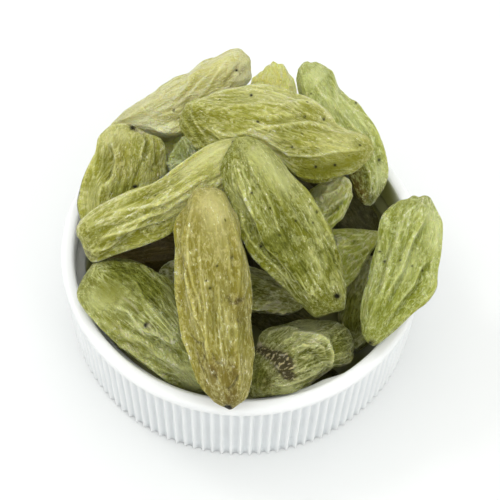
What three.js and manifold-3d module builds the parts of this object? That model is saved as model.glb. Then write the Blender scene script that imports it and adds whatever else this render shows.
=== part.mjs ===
// A white ribbed screw cap, mouth up, heaped with long green raisins.
// Millimetres, +Z up. The origin is the middle of the cap's underside, on the table.
import * as THREE from 'three';
import { mergeVertices } from 'three/addons/utils/BufferGeometryUtils.js';
import Module from 'manifold-3d';

// the cap
const capRadius = 20; // outside, at the rim
const capHeight = 12.4;
const mouthRadius = 18.55; // inside wall
const floorThickness = 1.3;
const draft = 0.01; // the skirt is this part narrower at the table
const ribCount = 120;
const ribDepth = 0.42;
const ribPoints = 2; // outline points to a rib
const bandHeight = 1.1; // smooth band between the ribs and the rim
const rimRound = 0.45;
const capSides = 72;

// the thread inside the cap
const threadDepth = 1.0;
const threadBase = 1.7; // height of the ridge at the wall
const threadCrest = 0.6; // height of the ridge at its edge
const threadPitch = 4;
const threadTurns = 1.25;
const threadStart = -45; // degrees round from +X, at the mouth
const threadDrop = 1.9; // from the rim down to the middle of its first stretch
const threadFade = 14; // degrees over which it runs out at each end
const threadStep = 6; // degrees between its sections

// the raisins
const gap = 0.16; // left between raisins that touch
const foldDepth = 0.2; // of the half width, at the middle of a panel
const shownRows = 13;
const hiddenRows = 9; // of those that the heap hides
const nudgeRounds = 240;
const shownWeight = 0.15; // how readily a raisin in sight gives way, against 1 for a hidden one
const pullBack = 0.03; // of the way back to its listed place each round, less and less

// Each raisin by hand: middle, then heading, pitch and roll in degrees, then length, width and
// thickness. arch bends it up in the middle and sway sideways, egg makes its far end the thicker one,
// blunt squares each end, and each dent is a place along it (-1 to 1), degrees round it and a depth.
const raisins = {
  raisin_front: {
    at: [-2.4, -10.6, 19.8], turn: [-81, -28, -8], size: [22.6, 8.1, 6.6], arch: 14, sway: -0.7, egg: -0.06,
    blunt: [3.2, 2.6], folds: 6, seed: 1, skin: 'amber',
  },
  raisin_left: {
    at: [-8.1, -0.9, 20.7], turn: [20, 30, -5], size: [21.2, 6.3, 5.2], arch: 3, sway: -1.1, egg: -0.08,
    blunt: [4.6, 2.8], folds: 5, seed: 2,
  },
  raisin_centre: {
    at: [3.8, -3.1, 20.2], turn: [-49, -40, 10], size: [21.7, 9.2, 6.2], arch: 14, sway: -0.8, blunt: [1.8, 1.9],
    folds: 6, seed: 3,
  },
  raisin_top: {
    at: [3, 7.6, 22.9], turn: [-12, -5, 5], size: [20.7, 10.3, 6.8], arch: 10, sway: 0.4, egg: -0.03,
    blunt: [1.8, 1.6], folds: 5, seed: 4,
  },
  raisin_back_left: {
    at: [-7.6, 14.8, 17], turn: [20, 20, -10], size: [18, 6, 5.4], sway: -0.8, egg: 0.25, blunt: [1.8, 3.2],
    folds: 5, seed: 5, skin: 'amber',
  },
  raisin_left_rim: {
    at: [-13.9, 4.5, 15.1], turn: [-104, -20, -6], size: [15.8, 9.2, 5.8], arch: 14, sway: 0.6,
    blunt: [3.6, 1.8], folds: 5, seed: 6, dents: [[-0.3, 120, 0.2]],
  },
  raisin_back_right: {
    at: [10.2, 12.3, 16.8], turn: [-58, -27, -8], size: [18.4, 8.2, 5.8], arch: 16, egg: 0.15, blunt: [2, 2.5],
    folds: 5, seed: 7,
  },
  raisin_back: {
    at: [2.8, 16.8, 14.2], turn: [-83, -24, 5], size: [11.8, 7.9, 5.2], sway: -0.6, egg: 0.07, blunt: [1.7, 2.4],
    folds: 4, seed: 8, skin: 'amber',
  },
  raisin_right_rim: {
    at: [16.6, -4.5, 16], turn: [-107, -5, 0], size: [18.2, 7.9, 5.6], arch: 10, sway: 1, egg: -0.13,
    blunt: [2.9, 1.6], folds: 6, seed: 9,
  },
  raisin_front_left: {
    at: [-9.2, -10.4, 11], turn: [-37, -24, 14], size: [20.8, 9.1, 5.6], arch: 8, sway: 1.1, egg: -0.15,
    blunt: [4, 2.4], folds: 5, seed: 10,
  },
  raisin_under_top: {
    at: [8.9, 2.3, 14], turn: [-125, -36, 12], size: [11, 6.2, 5], blunt: [2.6, 2.6], folds: 4, seed: 11,
    dents: [[-0.2, 90, 0.25]],
  },
  raisin_right: {
    at: [11.6, -0.9, 9.6], turn: [60, 8, 5], size: [13, 7.2, 4.8], sway: 0.6, blunt: [2.4, 2.1], folds: 5,
    seed: 12,
  },
  raisin_front_right: {
    at: [8.1, -11.5, 7.9], turn: [41, -30, -20], size: [14, 11, 7.6], sway: -0.4, blunt: [2.2, 2.5], folds: 4,
    seed: 13, dents: [[0.2, 60, 0.25]],
  },
  raisin_middle: {
    at: [-1, -4.6, 9.8], turn: [-2, -14, 7], size: [17, 6.4, 5], folds: 5, seed: 14,
  },
  raisin_under_left: {
    at: [-10.4, -0.5, 9.6], turn: [12, 2, 0], size: [13, 5.8, 4.6], folds: 5, seed: 15,
  },
  raisin_wedge: {
    at: [-5.3, 8.6, 15.2], turn: [-55, -33, 20], size: [12, 6, 5], folds: 5, seed: 18,
  },
  raisin_under_back_left: {
    at: [-9, 12.8, 12.4], turn: [-25, -20, -20], size: [10.5, 5.8, 4.8], folds: 4, seed: 19,
  },
  raisin_right_low: {
    at: [14, -5.6, 4.2], turn: [64, 6, 0], size: [11.5, 5.2, 4.6], folds: 5, seed: 20,
  },
  raisin_right_back_low: {
    at: [12, 8.6, 7.4], turn: [-52, -10, 20], size: [13, 7, 5.6], folds: 4, seed: 17, hidden: true,
  },
  raisin_floor_left: {
    at: [-12.2, -2, 4.4], turn: [-58, -6, 0], size: [15, 6.4, 5], folds: 5, seed: 21, hidden: true,
  },
  raisin_floor_middle: {
    at: [-4.2, -3.6, 4.4], turn: [-66, 2, 0], size: [17, 6.4, 5], folds: 5, seed: 22, hidden: true,
  },
  raisin_floor_centre: {
    at: [0.6, 4.2, 4.2], turn: [-62, -2, 10], size: [14, 6.2, 5], folds: 4, seed: 23, hidden: true,
  },
  raisin_floor_back: {
    at: [-2.3, 13.8, 4.2], turn: [-2, 0, 10], size: [13, 6, 5], folds: 5, seed: 24, hidden: true,
  },
  raisin_floor_right: {
    at: [7.4, 4.4, 4.2], turn: [-58, -3, 0], size: [15, 6, 5], folds: 4, seed: 25, hidden: true,
  },
  raisin_lower_left: {
    at: [-7.6, 6.6, 8.2], turn: [-38, 2, -15], size: [13, 6.4, 5.2], folds: 5, seed: 26, hidden: true,
  },
  raisin_lower_back: {
    at: [5, 10.8, 9.8], turn: [-47, 4, -20], size: [12, 6.2, 5.6], folds: 4, seed: 27, hidden: true,
  },
  raisin_floor_front: {
    at: [7.4, -3.6, 3.8], turn: [-30, 0, 0], size: [13, 6, 4.6], folds: 4, seed: 28, hidden: true,
  },
  raisin_floor_rim: {
    at: [6.4, -13.2, 3.8], turn: [24, 0, 0], size: [10.5, 4.8, 4.2], folds: 4, seed: 32, hidden: true,
  },
  raisin_prop_back: {
    at: [2.8, 9.6, 16.6], turn: [66, 2, 0], size: [15, 6.6, 5.8], folds: 5, seed: 29, hidden: true,
  },
  raisin_prop_centre: {
    at: [3.2, -0.8, 15.4], turn: [-48, -36, 0], size: [13, 5.8, 4.8], folds: 5, seed: 30, hidden: true,
  },
  raisin_prop_left: {
    at: [-5.6, 1.2, 14.8], turn: [-64, 40, 0], size: [13, 5.6, 4.8], folds: 4, seed: 31, hidden: true,
  },
};
const plain = { arch: 0, sway: 0, egg: 0, blunt: [2.4, 2.4], dents: [], skin: 'green' };

const capWhite = new THREE.MeshStandardMaterial({ color: 0xf2f4f5, roughness: 0.38, metalness: 0 });
const skins = {
  green: new THREE.MeshStandardMaterial({ color: 0x8e9a4c, roughness: 0.5, metalness: 0 }),
  amber: new THREE.MeshStandardMaterial({ color: 0xa59b55, roughness: 0.5, metalness: 0 }),
};

// A seeded draw between 0 and 1.
function draw(seed, index) {
  const value = Math.sin(seed * 127.1 + index * 311.7) * 43758.5453;
  return value - Math.floor(value);
}

// Where line t of a raisin runs: the ridges lie on lines evenly apart in t and wander as they go.
function wanderAt(raisin, s, t) {
  const phase = (index) => 2 * Math.PI * draw(raisin.seed, index);
  return 0.3 * Math.sin(t + phase(0) + 1.3 * s) + 0.14 * Math.sin(2 * t + phase(1) - 2.1 * s)
    + 0.06 * Math.sin(3 * t + phase(2) + 4 * s) + phase(3) + 0.35 * (draw(raisin.seed, 4) - 0.5) * s;
}

// How far out the skin is at s along (-1 to 1) and line t, as a part of the half width there: a taper
// to both ends, with a hollow panel between each two of the sharp ridges.
function skinAt(raisin, s, t, theta) {
  const blunt = raisin.blunt[s < 0 ? 0 : 1];
  const taper = Math.max(0, 1 - Math.abs(s) ** blunt) ** 0.55 * (1 + raisin.egg * s);
  const panel = Math.abs(Math.sin((raisin.folds / 2) * t)) ** 0.8;
  const turns = t / (2 * Math.PI);
  const uneven = 0.75 + 0.5 * draw(raisin.seed, 10 + Math.floor(raisin.folds * (turns - Math.floor(turns))));
  let out = 1 - foldDepth * panel * uneven * (1 - 0.5 * s ** 4);
  out *= 1 + 0.035 * Math.sin(5 * s + 2 * Math.PI * draw(raisin.seed, 5) + theta);
  for (const [place, degrees, depth] of raisin.dents) {
    const round = 1 - Math.cos(theta - THREE.MathUtils.degToRad(degrees));
    out *= 1 - depth * Math.exp(-(((s - place) / 0.35) ** 2) - 2.2 * round);
  }
  return taper * out;
}

// A point of the skin in the raisin's own frame, with its length along X.
function skinPoint(raisin, s, t) {
  const [length, width, thickness] = raisin.size;
  const theta = t + wanderAt(raisin, s, t);
  const out = skinAt(raisin, s, t, theta);
  const y = (width / 2) * out * Math.cos(theta) - raisin.sway * (s * s - 0.4);
  const z = (thickness / 2) * out * Math.sin(theta);
  const bend = THREE.MathUtils.degToRad(raisin.arch) / 2 + 1e-6;
  const bendRadius = length / 2 / bend;
  return [(bendRadius + z) * Math.sin(bend * s), y, (bendRadius + z) * Math.cos(bend * s) - bendRadius];
}

// Closed surface from rows of points between two end points.
function closedSurface(first, rows, last) {
  const round = rows[0].length;
  const points = [first, ...rows.flat(), last];
  const at = (row, column) => 1 + row * round + (column % round);
  const end = points.length - 1;
  const faces = [];
  for (let column = 0; column < round; column += 1) {
    faces.push(0, at(0, column + 1), at(0, column));
    for (let row = 0; row < rows.length - 1; row += 1) {
      faces.push(at(row, column), at(row, column + 1), at(row + 1, column + 1));
      faces.push(at(row, column), at(row + 1, column + 1), at(row + 1, column));
    }
    faces.push(end, at(rows.length - 1, column), at(rows.length - 1, column + 1));
  }
  const geometry = new THREE.BufferGeometry();
  geometry.setAttribute('position', new THREE.Float32BufferAttribute(points.flat(), 3));
  geometry.setIndex(faces);
  return geometry;
}

function raisinGeometry(raisin) {
  const round = raisin.folds * (raisin.hidden ? 3 : 4);
  const along = raisin.hidden ? hiddenRows : shownRows;
  const rows = [];
  for (let row = 1; row < along; row += 1) {
    const s = -Math.cos((Math.PI * row) / along);
    rows.push([...Array(round).keys()].map((k) => skinPoint(raisin, s, (2 * Math.PI * k) / round)));
  }
  const geometry = closedSurface(skinPoint(raisin, -1, 0), rows, skinPoint(raisin, 1, 0));
  geometry.computeVertexNormals();
  return geometry;
}

// How far a point in a raisin's own frame is outside its skin, roughly, in half widths.
function outside(raisin, point) {
  const [length, width, thickness] = raisin.size;
  const bend = THREE.MathUtils.degToRad(raisin.arch) / 2 + 1e-6;
  const bendRadius = length / 2 / bend;
  const s = Math.atan2(point.x, point.z + bendRadius) / bend;
  const z = (Math.hypot(point.x, point.z + bendRadius) - bendRadius) / (thickness / 2);
  const y = (point.y + raisin.sway * (s * s - 0.4)) / (width / 2);
  const reach = Math.hypot(y, z);
  if (Math.abs(s) > 1.06 || reach > 1.3) return 1;
  const inward = Math.min(0.98, Math.max(-0.98, s));
  const theta = Math.atan2(z, y);
  let t = theta - wanderAt(raisin, inward, theta);
  for (let guess = 0; guess < 4; guess += 1) t = theta - wanderAt(raisin, inward, t);
  return reach + 6 * (Math.abs(s) - Math.abs(inward)) - skinAt(raisin, inward, t, theta);
}

// The push, in the raisin's own frame, that takes a point out of its skin, or null if it is clear.
function pushOut(raisin, point) {
  const here = outside(raisin, point);
  if (here > 0.2) return null;
  const step = 0.05;
  const slope = new THREE.Vector3(
    outside(raisin, point.clone().setX(point.x + step)) - here,
    outside(raisin, point.clone().setY(point.y + step)) - here,
    outside(raisin, point.clone().setZ(point.z + step)) - here,
  ).divideScalar(step);
  const depth = gap - here / slope.length();
  return depth > 0 ? slope.setLength(depth) : null;
}

// The push that keeps a point above the cap's floor, inside its thread or on top of its rim.
function pushFromCap(point) {
  const push = new THREE.Vector3(0, 0, Math.max(0, floorThickness + gap - point.z));
  const radius = Math.hypot(point.x, point.y);
  const threadTop = capHeight - threadDrop + threadBase / 2 + gap;
  const over = radius + gap - mouthRadius + (point.z > threadTop ? 0 : threadDepth);
  const under = capHeight + gap - point.z;
  if (over > 0 && under > 0 && radius < capRadius + 1) {
    if (under < over) push.z += under;
    else push.set((-over * point.x) / radius, (-over * point.y) / radius, push.z);
  }
  return push;
}

const weightOf = (mesh) => (mesh.userData.raisin.hidden ? 1 : shownWeight);

// Nudges the listed places apart, without turning anything, until every raisin has its gap.
function nudgeApart(meshes) {
  for (let round = 0; round < nudgeRounds; round += 1) {
    let deepest = 0;
    const shifts = meshes.map(() => new THREE.Vector3());
    for (const [index, mesh] of meshes.entries()) {
      mesh.updateMatrixWorld();
      mesh.userData.inverse = mesh.matrixWorld.clone().invert();
      mesh.userData.points = pointsOf(mesh);
      let most = new THREE.Vector3();
      let lift = 0;
      for (const point of mesh.userData.points) {
        const push = pushFromCap(point);
        lift = Math.max(lift, push.z);
        if (push.setZ(0).length() > most.length()) most = push;
      }
      shifts[index].add(most).add(new THREE.Vector3(0, 0, lift));
      deepest = Math.max(deepest, most.length(), lift);
    }
    for (const [index, mesh] of meshes.entries()) {
      for (const [other, fixed] of meshes.entries()) {
        const reach = (mesh.userData.raisin.size[0] + fixed.userData.raisin.size[0]) / 2 + gap;
        if (index === other || mesh.position.distanceTo(fixed.position) > reach) continue;
        let most = new THREE.Vector3();
        for (const point of mesh.userData.points) {
          const push = pushOut(fixed.userData.raisin, point.clone().applyMatrix4(fixed.userData.inverse));
          if (push && push.length() > most.length()) most = push;
        }
        const depth = most.length();
        const push = most.transformDirection(fixed.matrixWorld).setLength(depth);
        const [own, theirs] = [weightOf(mesh), weightOf(fixed)];
        shifts[index].addScaledVector(push, (0.5 * own) / (own + theirs));
        shifts[other].addScaledVector(push, (-0.5 * theirs) / (own + theirs));
        deepest = Math.max(deepest, depth);
      }
    }
    const back = pullBack * Math.max(0, 1 - (1.5 * round) / nudgeRounds);
    for (const [index, mesh] of meshes.entries()) {
      const listed = new THREE.Vector3(...mesh.userData.raisin.at);
      mesh.position.add(shifts[index]).lerp(listed, back);
    }
    if (back === 0 && deepest < 0.02) return;
  }
}

function pointsOf(mesh) {
  const position = mesh.geometry.getAttribute('position');
  return [...Array(position.count).keys()].map((index) => (
    new THREE.Vector3().fromBufferAttribute(position, index).applyMatrix4(mesh.matrixWorld)));
}

const wasm = await Module();
wasm.setup();

function toSolid(geometry) {
  const bare = geometry.clone();
  bare.deleteAttribute('normal');
  bare.deleteAttribute('uv');
  const merged = mergeVertices(bare, 1e-4);
  return new wasm.Manifold(new wasm.Mesh({
    numProp: 3,
    vertProperties: new Float32Array(merged.getAttribute('position').array),
    triVerts: new Uint32Array(merged.getIndex().array),
  }));
}

function toGeometry(solid) {
  const mesh = solid.getMesh();
  const geometry = new THREE.BufferGeometry();
  geometry.setAttribute('position', new THREE.BufferAttribute(new Float32Array(mesh.vertProperties), 3));
  geometry.setIndex([...mesh.triVerts]);
  geometry.computeVertexNormals();
  return geometry;
}

// The plain cup, turned from its closed section.
function cupGeometry() {
  const behindRibs = capRadius - 1.6 * ribDepth;
  const ribTop = capHeight - bandHeight;
  const section = [
    [0, 0],
    [behindRibs * (1 - draft), 0],
    [behindRibs, ribTop],
    [capRadius, ribTop],
    [capRadius, capHeight - rimRound],
    [capRadius - rimRound * 0.3, capHeight - rimRound * 0.3],
    [capRadius - rimRound, capHeight],
    [mouthRadius + rimRound, capHeight],
    [mouthRadius + rimRound * 0.3, capHeight - rimRound * 0.3],
    [mouthRadius, capHeight - rimRound],
    [mouthRadius, floorThickness + 1],
    [mouthRadius - 1, floorThickness],
    [0, floorThickness],
  ];
  return new THREE.LatheGeometry(section.map(([r, z]) => new THREE.Vector2(r, z)), capSides)
    .rotateX(Math.PI / 2);
}

// The ring of upright ribs, an extruded scalloped outline that narrows toward the table.
function ribGeometry() {
  const outline = new THREE.Shape();
  const points = ribCount * ribPoints;
  for (let k = 0; k < points; k += 1) {
    const angle = (2 * Math.PI * k) / points;
    const radius = capRadius - (k % ribPoints === 0 ? ribDepth : 0) - 0.02;
    const place = [radius * Math.cos(angle), radius * Math.sin(angle)];
    if (k === 0) outline.moveTo(...place);
    else outline.lineTo(...place);
  }
  const hole = new THREE.Path();
  hole.absarc(0, 0, (capRadius + mouthRadius) / 2, 0, 2 * Math.PI, true);
  outline.holes.push(hole);
  const height = capHeight - bandHeight;
  const geometry = new THREE.ExtrudeGeometry(outline, {
    depth: height, bevelEnabled: false, curveSegments: capSides / 3,
  });
  const position = geometry.getAttribute('position');
  for (let index = 0; index < position.count; index += 1) {
    const scale = 1 - draft * (1 - position.getZ(index) / capHeight);
    position.setXY(index, position.getX(index) * scale, position.getY(index) * scale);
  }
  return geometry;
}

// The thread, a ridge that winds down the inside wall and runs out at both ends.
function threadGeometry() {
  const total = threadTurns * 360;
  const rows = [];
  for (let turned = threadStep; turned < total; turned += threadStep) {
    const angle = THREE.MathUtils.degToRad(threadStart - turned);
    const middle = capHeight - threadDrop - (threadPitch * turned) / 360;
    const fade = Math.min(1, turned / threadFade, (total - turned) / threadFade);
    const crest = mouthRadius - threadDepth * fade;
    const root = mouthRadius + 0.4;
    const section = [
      [root, middle - threadBase / 2],
      [root, middle + threadBase / 2],
      [crest, middle + threadCrest / 2],
      [crest, middle - threadCrest / 2],
    ];
    rows.push(section.map(([r, z]) => [r * Math.cos(angle), r * Math.sin(angle), z]));
  }
  const middleOf = (row) => [0, 1, 2].map((axis) => row.reduce((sum, point) => sum + point[axis] / 4, 0));
  return closedSurface(middleOf(rows[0]), rows, middleOf(rows[rows.length - 1]));
}

function makeCap() {
  const solid = toSolid(cupGeometry()).add(toSolid(ribGeometry())).add(toSolid(threadGeometry()));
  const mesh = new THREE.Mesh(toGeometry(solid), capWhite);
  mesh.name = 'cap';
  return mesh;
}

function makeRaisins() {
  const meshes = Object.entries(raisins).map(([name, listed]) => {
    const raisin = { ...plain, ...listed };
    const mesh = new THREE.Mesh(raisinGeometry(raisin), skins[raisin.skin]);
    const [heading, pitch, roll] = raisin.turn.map(THREE.MathUtils.degToRad);
    mesh.name = name;
    mesh.position.set(...raisin.at);
    mesh.rotation.set(roll, -pitch, heading, 'ZYX');
    mesh.userData.raisin = raisin;
    return mesh;
  });
  nudgeApart(meshes);
  return meshes;
}

const group = new THREE.Group();
group.add(makeCap(), ...makeRaisins());
export default group;
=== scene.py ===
# A white ribbed screw cap heaped with long green raisins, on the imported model's frame.
# Lengths are millimetres until a surface becomes a mesh; a mesh is in metres, as the frame is.
import math
import bpy
import numpy as np
from mathutils import Matrix, Vector


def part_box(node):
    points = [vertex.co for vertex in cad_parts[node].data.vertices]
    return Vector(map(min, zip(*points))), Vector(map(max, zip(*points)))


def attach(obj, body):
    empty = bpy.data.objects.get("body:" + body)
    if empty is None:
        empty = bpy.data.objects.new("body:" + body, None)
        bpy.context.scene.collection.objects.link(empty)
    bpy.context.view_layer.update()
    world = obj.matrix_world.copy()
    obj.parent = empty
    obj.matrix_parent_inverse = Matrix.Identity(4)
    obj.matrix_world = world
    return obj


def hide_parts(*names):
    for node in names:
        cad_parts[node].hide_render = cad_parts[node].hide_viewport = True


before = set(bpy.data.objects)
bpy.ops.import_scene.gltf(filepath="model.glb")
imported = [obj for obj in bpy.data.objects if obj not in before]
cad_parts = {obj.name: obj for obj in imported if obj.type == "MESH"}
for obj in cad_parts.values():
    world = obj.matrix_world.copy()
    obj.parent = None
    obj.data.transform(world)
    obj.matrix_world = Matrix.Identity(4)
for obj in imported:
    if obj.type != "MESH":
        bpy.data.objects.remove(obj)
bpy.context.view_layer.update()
mm = 0.001


# Camera

camera = {"lens": 93.6, "sensor": 36.0, "image": 500.0, "elevation": 59.06, "roll": 2.22,
          "distance": 156.87, "target": (0.716, 6.74, 0.0), "nearest": 0.005}


def cameraFrame():
    # the camera's place, and its right, up and back directions
    elevation, roll = math.radians(camera["elevation"]), math.radians(camera["roll"])
    back = np.array([0.0, -math.cos(elevation), math.sin(elevation)])
    level = np.array([1.0, 0.0, 0.0])
    upright = np.cross(back, level)
    right = math.cos(roll) * level + math.sin(roll) * upright
    up = math.cos(roll) * upright - math.sin(roll) * level
    place = np.array(camera["target"]) + camera["distance"] * back
    return place, right, up, back


eye, eyeRight, eyeUp, eyeBack = cameraFrame()
focal = camera["lens"] / camera["sensor"] * camera["image"]  # in pixels
cameraData = bpy.data.cameras.new("camera")
cameraData.lens = camera["lens"]
cameraData.sensor_width = camera["sensor"]
cameraData.clip_start = camera["nearest"]
cameraObject = bpy.data.objects.new("camera", cameraData)
bpy.context.scene.collection.objects.link(cameraObject)
looking = Matrix((eyeRight, eyeUp, eyeBack)).transposed().to_4x4()
cameraObject.matrix_world = Matrix.Translation([v * mm for v in eye]) @ looking
bpy.context.scene.camera = cameraObject
print("camera set")


# Surfaces

def toPixels(points):
    # where points fall in the photograph: across and down, over their depth before the eye
    away = points - eye
    scale = focal / -(away @ eyeBack)
    middle = camera["image"] / 2
    return middle + scale * (away @ eyeRight), middle - scale * (away @ eyeUp)


def noiseAt(points, seed):
    # value noise from -1 to 1: a hashed number at each corner of a unit lattice, blended smoothly between
    cell = np.floor(points).astype(np.int64)
    part = points - cell
    blend = part ** 3 * (part * (part * 6.0 - 15.0) + 10.0)
    stride = np.array([374761393, 668265263, 1442695041])
    total = np.zeros(points.shape[:-1])
    for corner in range(8):
        step = np.array([corner & 1, (corner >> 1) & 1, corner >> 2])
        key = (((cell + step) * stride).sum(axis=-1) + seed * 1274126177) & 0xFFFFFFFF
        key = ((key ^ (key >> 13)) * 1103515245) & 0xFFFFFFFF
        key = ((key ^ (key >> 15)) * 1540483477) & 0xFFFFFFFF
        value = ((key ^ (key >> 12)) & 0xFFFF) / 32767.5 - 1.0
        total += np.where(step == 1, blend, 1.0 - blend).prod(axis=-1) * value
    return total


def smooth(value, low, high):
    # 0 below low, 1 above high, and an even S between
    part = np.clip((value - low) / (high - low), 0.0, 1.0)
    return part * part * (3.0 - 2.0 * part)


def closedFaces(rows, columns):
    # quads between rows of a grid that closes round, and a fan of triangles onto an end point at each end
    row, column = np.meshgrid(np.arange(rows - 1), np.arange(columns), indexing="ij")
    after = (column + 1) % columns
    quads = 1 + np.stack([
        row * columns + column, row * columns + after,
        (row + 1) * columns + after, (row + 1) * columns + column,
    ], axis=-1).reshape(-1, 4)
    ring = np.arange(columns)
    following = (ring + 1) % columns
    last = (rows - 1) * columns
    start = np.stack([np.zeros_like(ring), 1 + following, 1 + ring], axis=-1)
    end = np.stack([np.full_like(ring, 1 + rows * columns), 1 + last + ring, 1 + last + following], axis=-1)
    return quads, np.concatenate([start, end])


def makePiece(name, points, quads, triangles, values, vectors=None):
    # a smooth mesh, with numbers and vectors at its points for the materials to read
    mesh = bpy.data.meshes.new(name)
    corners = np.concatenate([quads.ravel(), triangles.ravel()])
    sizes = np.concatenate([np.full(len(quads), 4), np.full(len(triangles), 3)])
    mesh.vertices.add(len(points))
    mesh.vertices.foreach_set("co", (points * mm).astype(np.float32).ravel())
    mesh.loops.add(len(corners))
    mesh.loops.foreach_set("vertex_index", corners.astype(np.int32))
    mesh.polygons.add(len(sizes))
    mesh.polygons.foreach_set("loop_start", (np.cumsum(sizes) - sizes).astype(np.int32))
    mesh.polygons.foreach_set("loop_total", sizes.astype(np.int32))
    mesh.polygons.foreach_set("use_smooth", np.ones(len(sizes), bool))
    for key, value in values.items():
        mesh.attributes.new(key, "FLOAT", "POINT").data.foreach_set("value", value.astype(np.float32).ravel())
    for key, value in (vectors or {}).items():
        made = mesh.attributes.new(key, "FLOAT_VECTOR", "POINT")
        made.data.foreach_set("vector", value.astype(np.float32).ravel())
    mesh.update()
    mesh.validate()
    piece = bpy.data.objects.new(name, mesh)
    bpy.context.scene.collection.objects.link(piece)
    return piece


def gridNormals(grid):
    # unit normals of a grid that closes round, from the differences of neighbouring points, facing out
    along = np.gradient(grid, axis=0)
    around = np.roll(grid, -1, axis=1) - np.roll(grid, 1, axis=1)
    normal = np.cross(around, along)
    normal = normal / np.maximum(np.linalg.norm(normal, axis=-1, keepdims=True), 1e-9)
    outwards = (normal * (grid - grid.mean(axis=(0, 1)))).sum() >= 0
    return normal if outwards else -normal


# Materials

def node(tree, kind, inputs=None, **settings):
    # a shader node: sockets given to it are linked, and other values set
    made = tree.nodes.new("ShaderNode" + kind)
    for key, value in settings.items():
        setattr(made, key, value)
    for key, value in (inputs or {}).items():
        if isinstance(value, bpy.types.NodeSocket):
            tree.links.new(value, made.inputs[key])
        else:
            made.inputs[key].default_value = value
    return made


def newMaterial(name, settings):
    # settings are the shader's values that are the same all over
    material = bpy.data.materials.new(name)
    material.use_nodes = True
    tree = material.node_tree
    tree.nodes.clear()
    shader = node(tree, "BsdfPrincipled", settings)
    output = node(tree, "OutputMaterial", {"Surface": shader.outputs["BSDF"]})
    output.location = (400, 0)
    return material, tree, shader


def opaque(colour):
    return (*colour, 1.0) if isinstance(colour, tuple) else colour


def mixed(tree, factor, first, second, how="MIX"):
    made = node(tree, "Mix", {0: factor, 6: opaque(first), 7: opaque(second)},
                data_type="RGBA", blend_type=how)
    return made.outputs[2]


def ranged(tree, value, low, high, least=0.0, most=1.0):
    # least where the value is low or under, most where it is high or over
    made = node(tree, "MapRange", {0: value, 1: low, 2: high, 3: least, 4: most}, clamp=True)
    return made.outputs[0]


def maths(tree, operation, first, second=0.0):
    return node(tree, "Math", {0: first, 1: second}, operation=operation).outputs[0]


def scaled(tree, vector, scale):
    return node(tree, "VectorMath", {0: vector, 1: scale}, operation="MULTIPLY").outputs[0]


def attribute(tree, name, output="Fac"):
    return node(tree, "Attribute", attribute_name=name).outputs[output]


# The skin's finish. A noise is its scale along the fruit and across it, its detail and its distortion. A
# range is where a noise starts to count and where it counts in full, and then how much at the two ends.
raisinFinish = {
    "noises": {
        "mottle": (0.3, 0.5, 5.0, 0.6), "streak": (0.7, 3.0, 4.0, 0.7), "hair": (0.9, 7.0, 2.0, 0.5),
        "grain": (2.4, 6.0, 2.0, 0.4), "patch": (1.3, 2.0, 2.0, 0.3),
        "wideVein": (0.4, 1.5, 2.0, 0.9), "thinVein": (0.9, 3.2, 2.0, 0.7),
    },
    "noiseRoughness": 0.62, "shift": (7.3, 3.1),
    "mottle": (0.36, 0.64, 0.3, 1.0), "patch": (0.46, 0.58),
    "wideVein": 0.07, "thinVein": 0.1, "veinCore": 0.3,
    # shares: how far the painted shade in recesses and on downward faces, the painted glow, the painted
    # highlight on ridges, the veins and the warm tone are mixed in
    "shares": {"hollow": 0.55, "undersideShade": 0.8, "paintedGlow": 0.8, "crest": 0.8, "vein": 0.55, "warm": 0.85},
    "streakPale": (0.52, 0.7, 0.0, 0.14), "streakDeep": (0.48, 0.32, 0.0, 0.15),
    "hairPale": (0.54, 0.64, 0.0), "hairDeep": (0.46, 0.36, 0.0), "hairDeepShare": 0.5,
    # The flecks are painted glints, more of them along the ridges; the colour after them multiplies painted
    # shade into dark zones.
    "paintedGlint": (0.66, 0.69), "glintOnCrest": 0.16, "paintedShade": (0.5, 0.52, 0.24),
    "crumbScale": 2.9, "crumbStain": (0.4, 0.62, 1.2, 0.8), "crumbCrust": (0.54, 0.64),
    "poreScale": (0.3, 0.34, 0.34), "pore": (0.03, 0.06, 0.7, 0.0), "poreColour": (0.06, 0.055, 0.012),
    # The scar colour serves both real pale stem scars and painted glints.
    "dot": (0.02, 0.016, 0.008), "scarAndGlint": (0.8, 0.74, 0.52),
    "roughness": (0.35, 0.65, 0.3, 0.5),
    "bumpDepth": 0.0003, "bump": {"grain": 2.0, "streak": 1.5, "hair": 2.0},
    "shader": {"Subsurface Weight": 0.5, "Subsurface Radius": (1.0, 0.85, 0.2), "IOR": 1.45,
               "Specular IOR Level": 0.07, "Coat Weight": 0.08, "Coat Roughness": 0.12},
}


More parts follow.
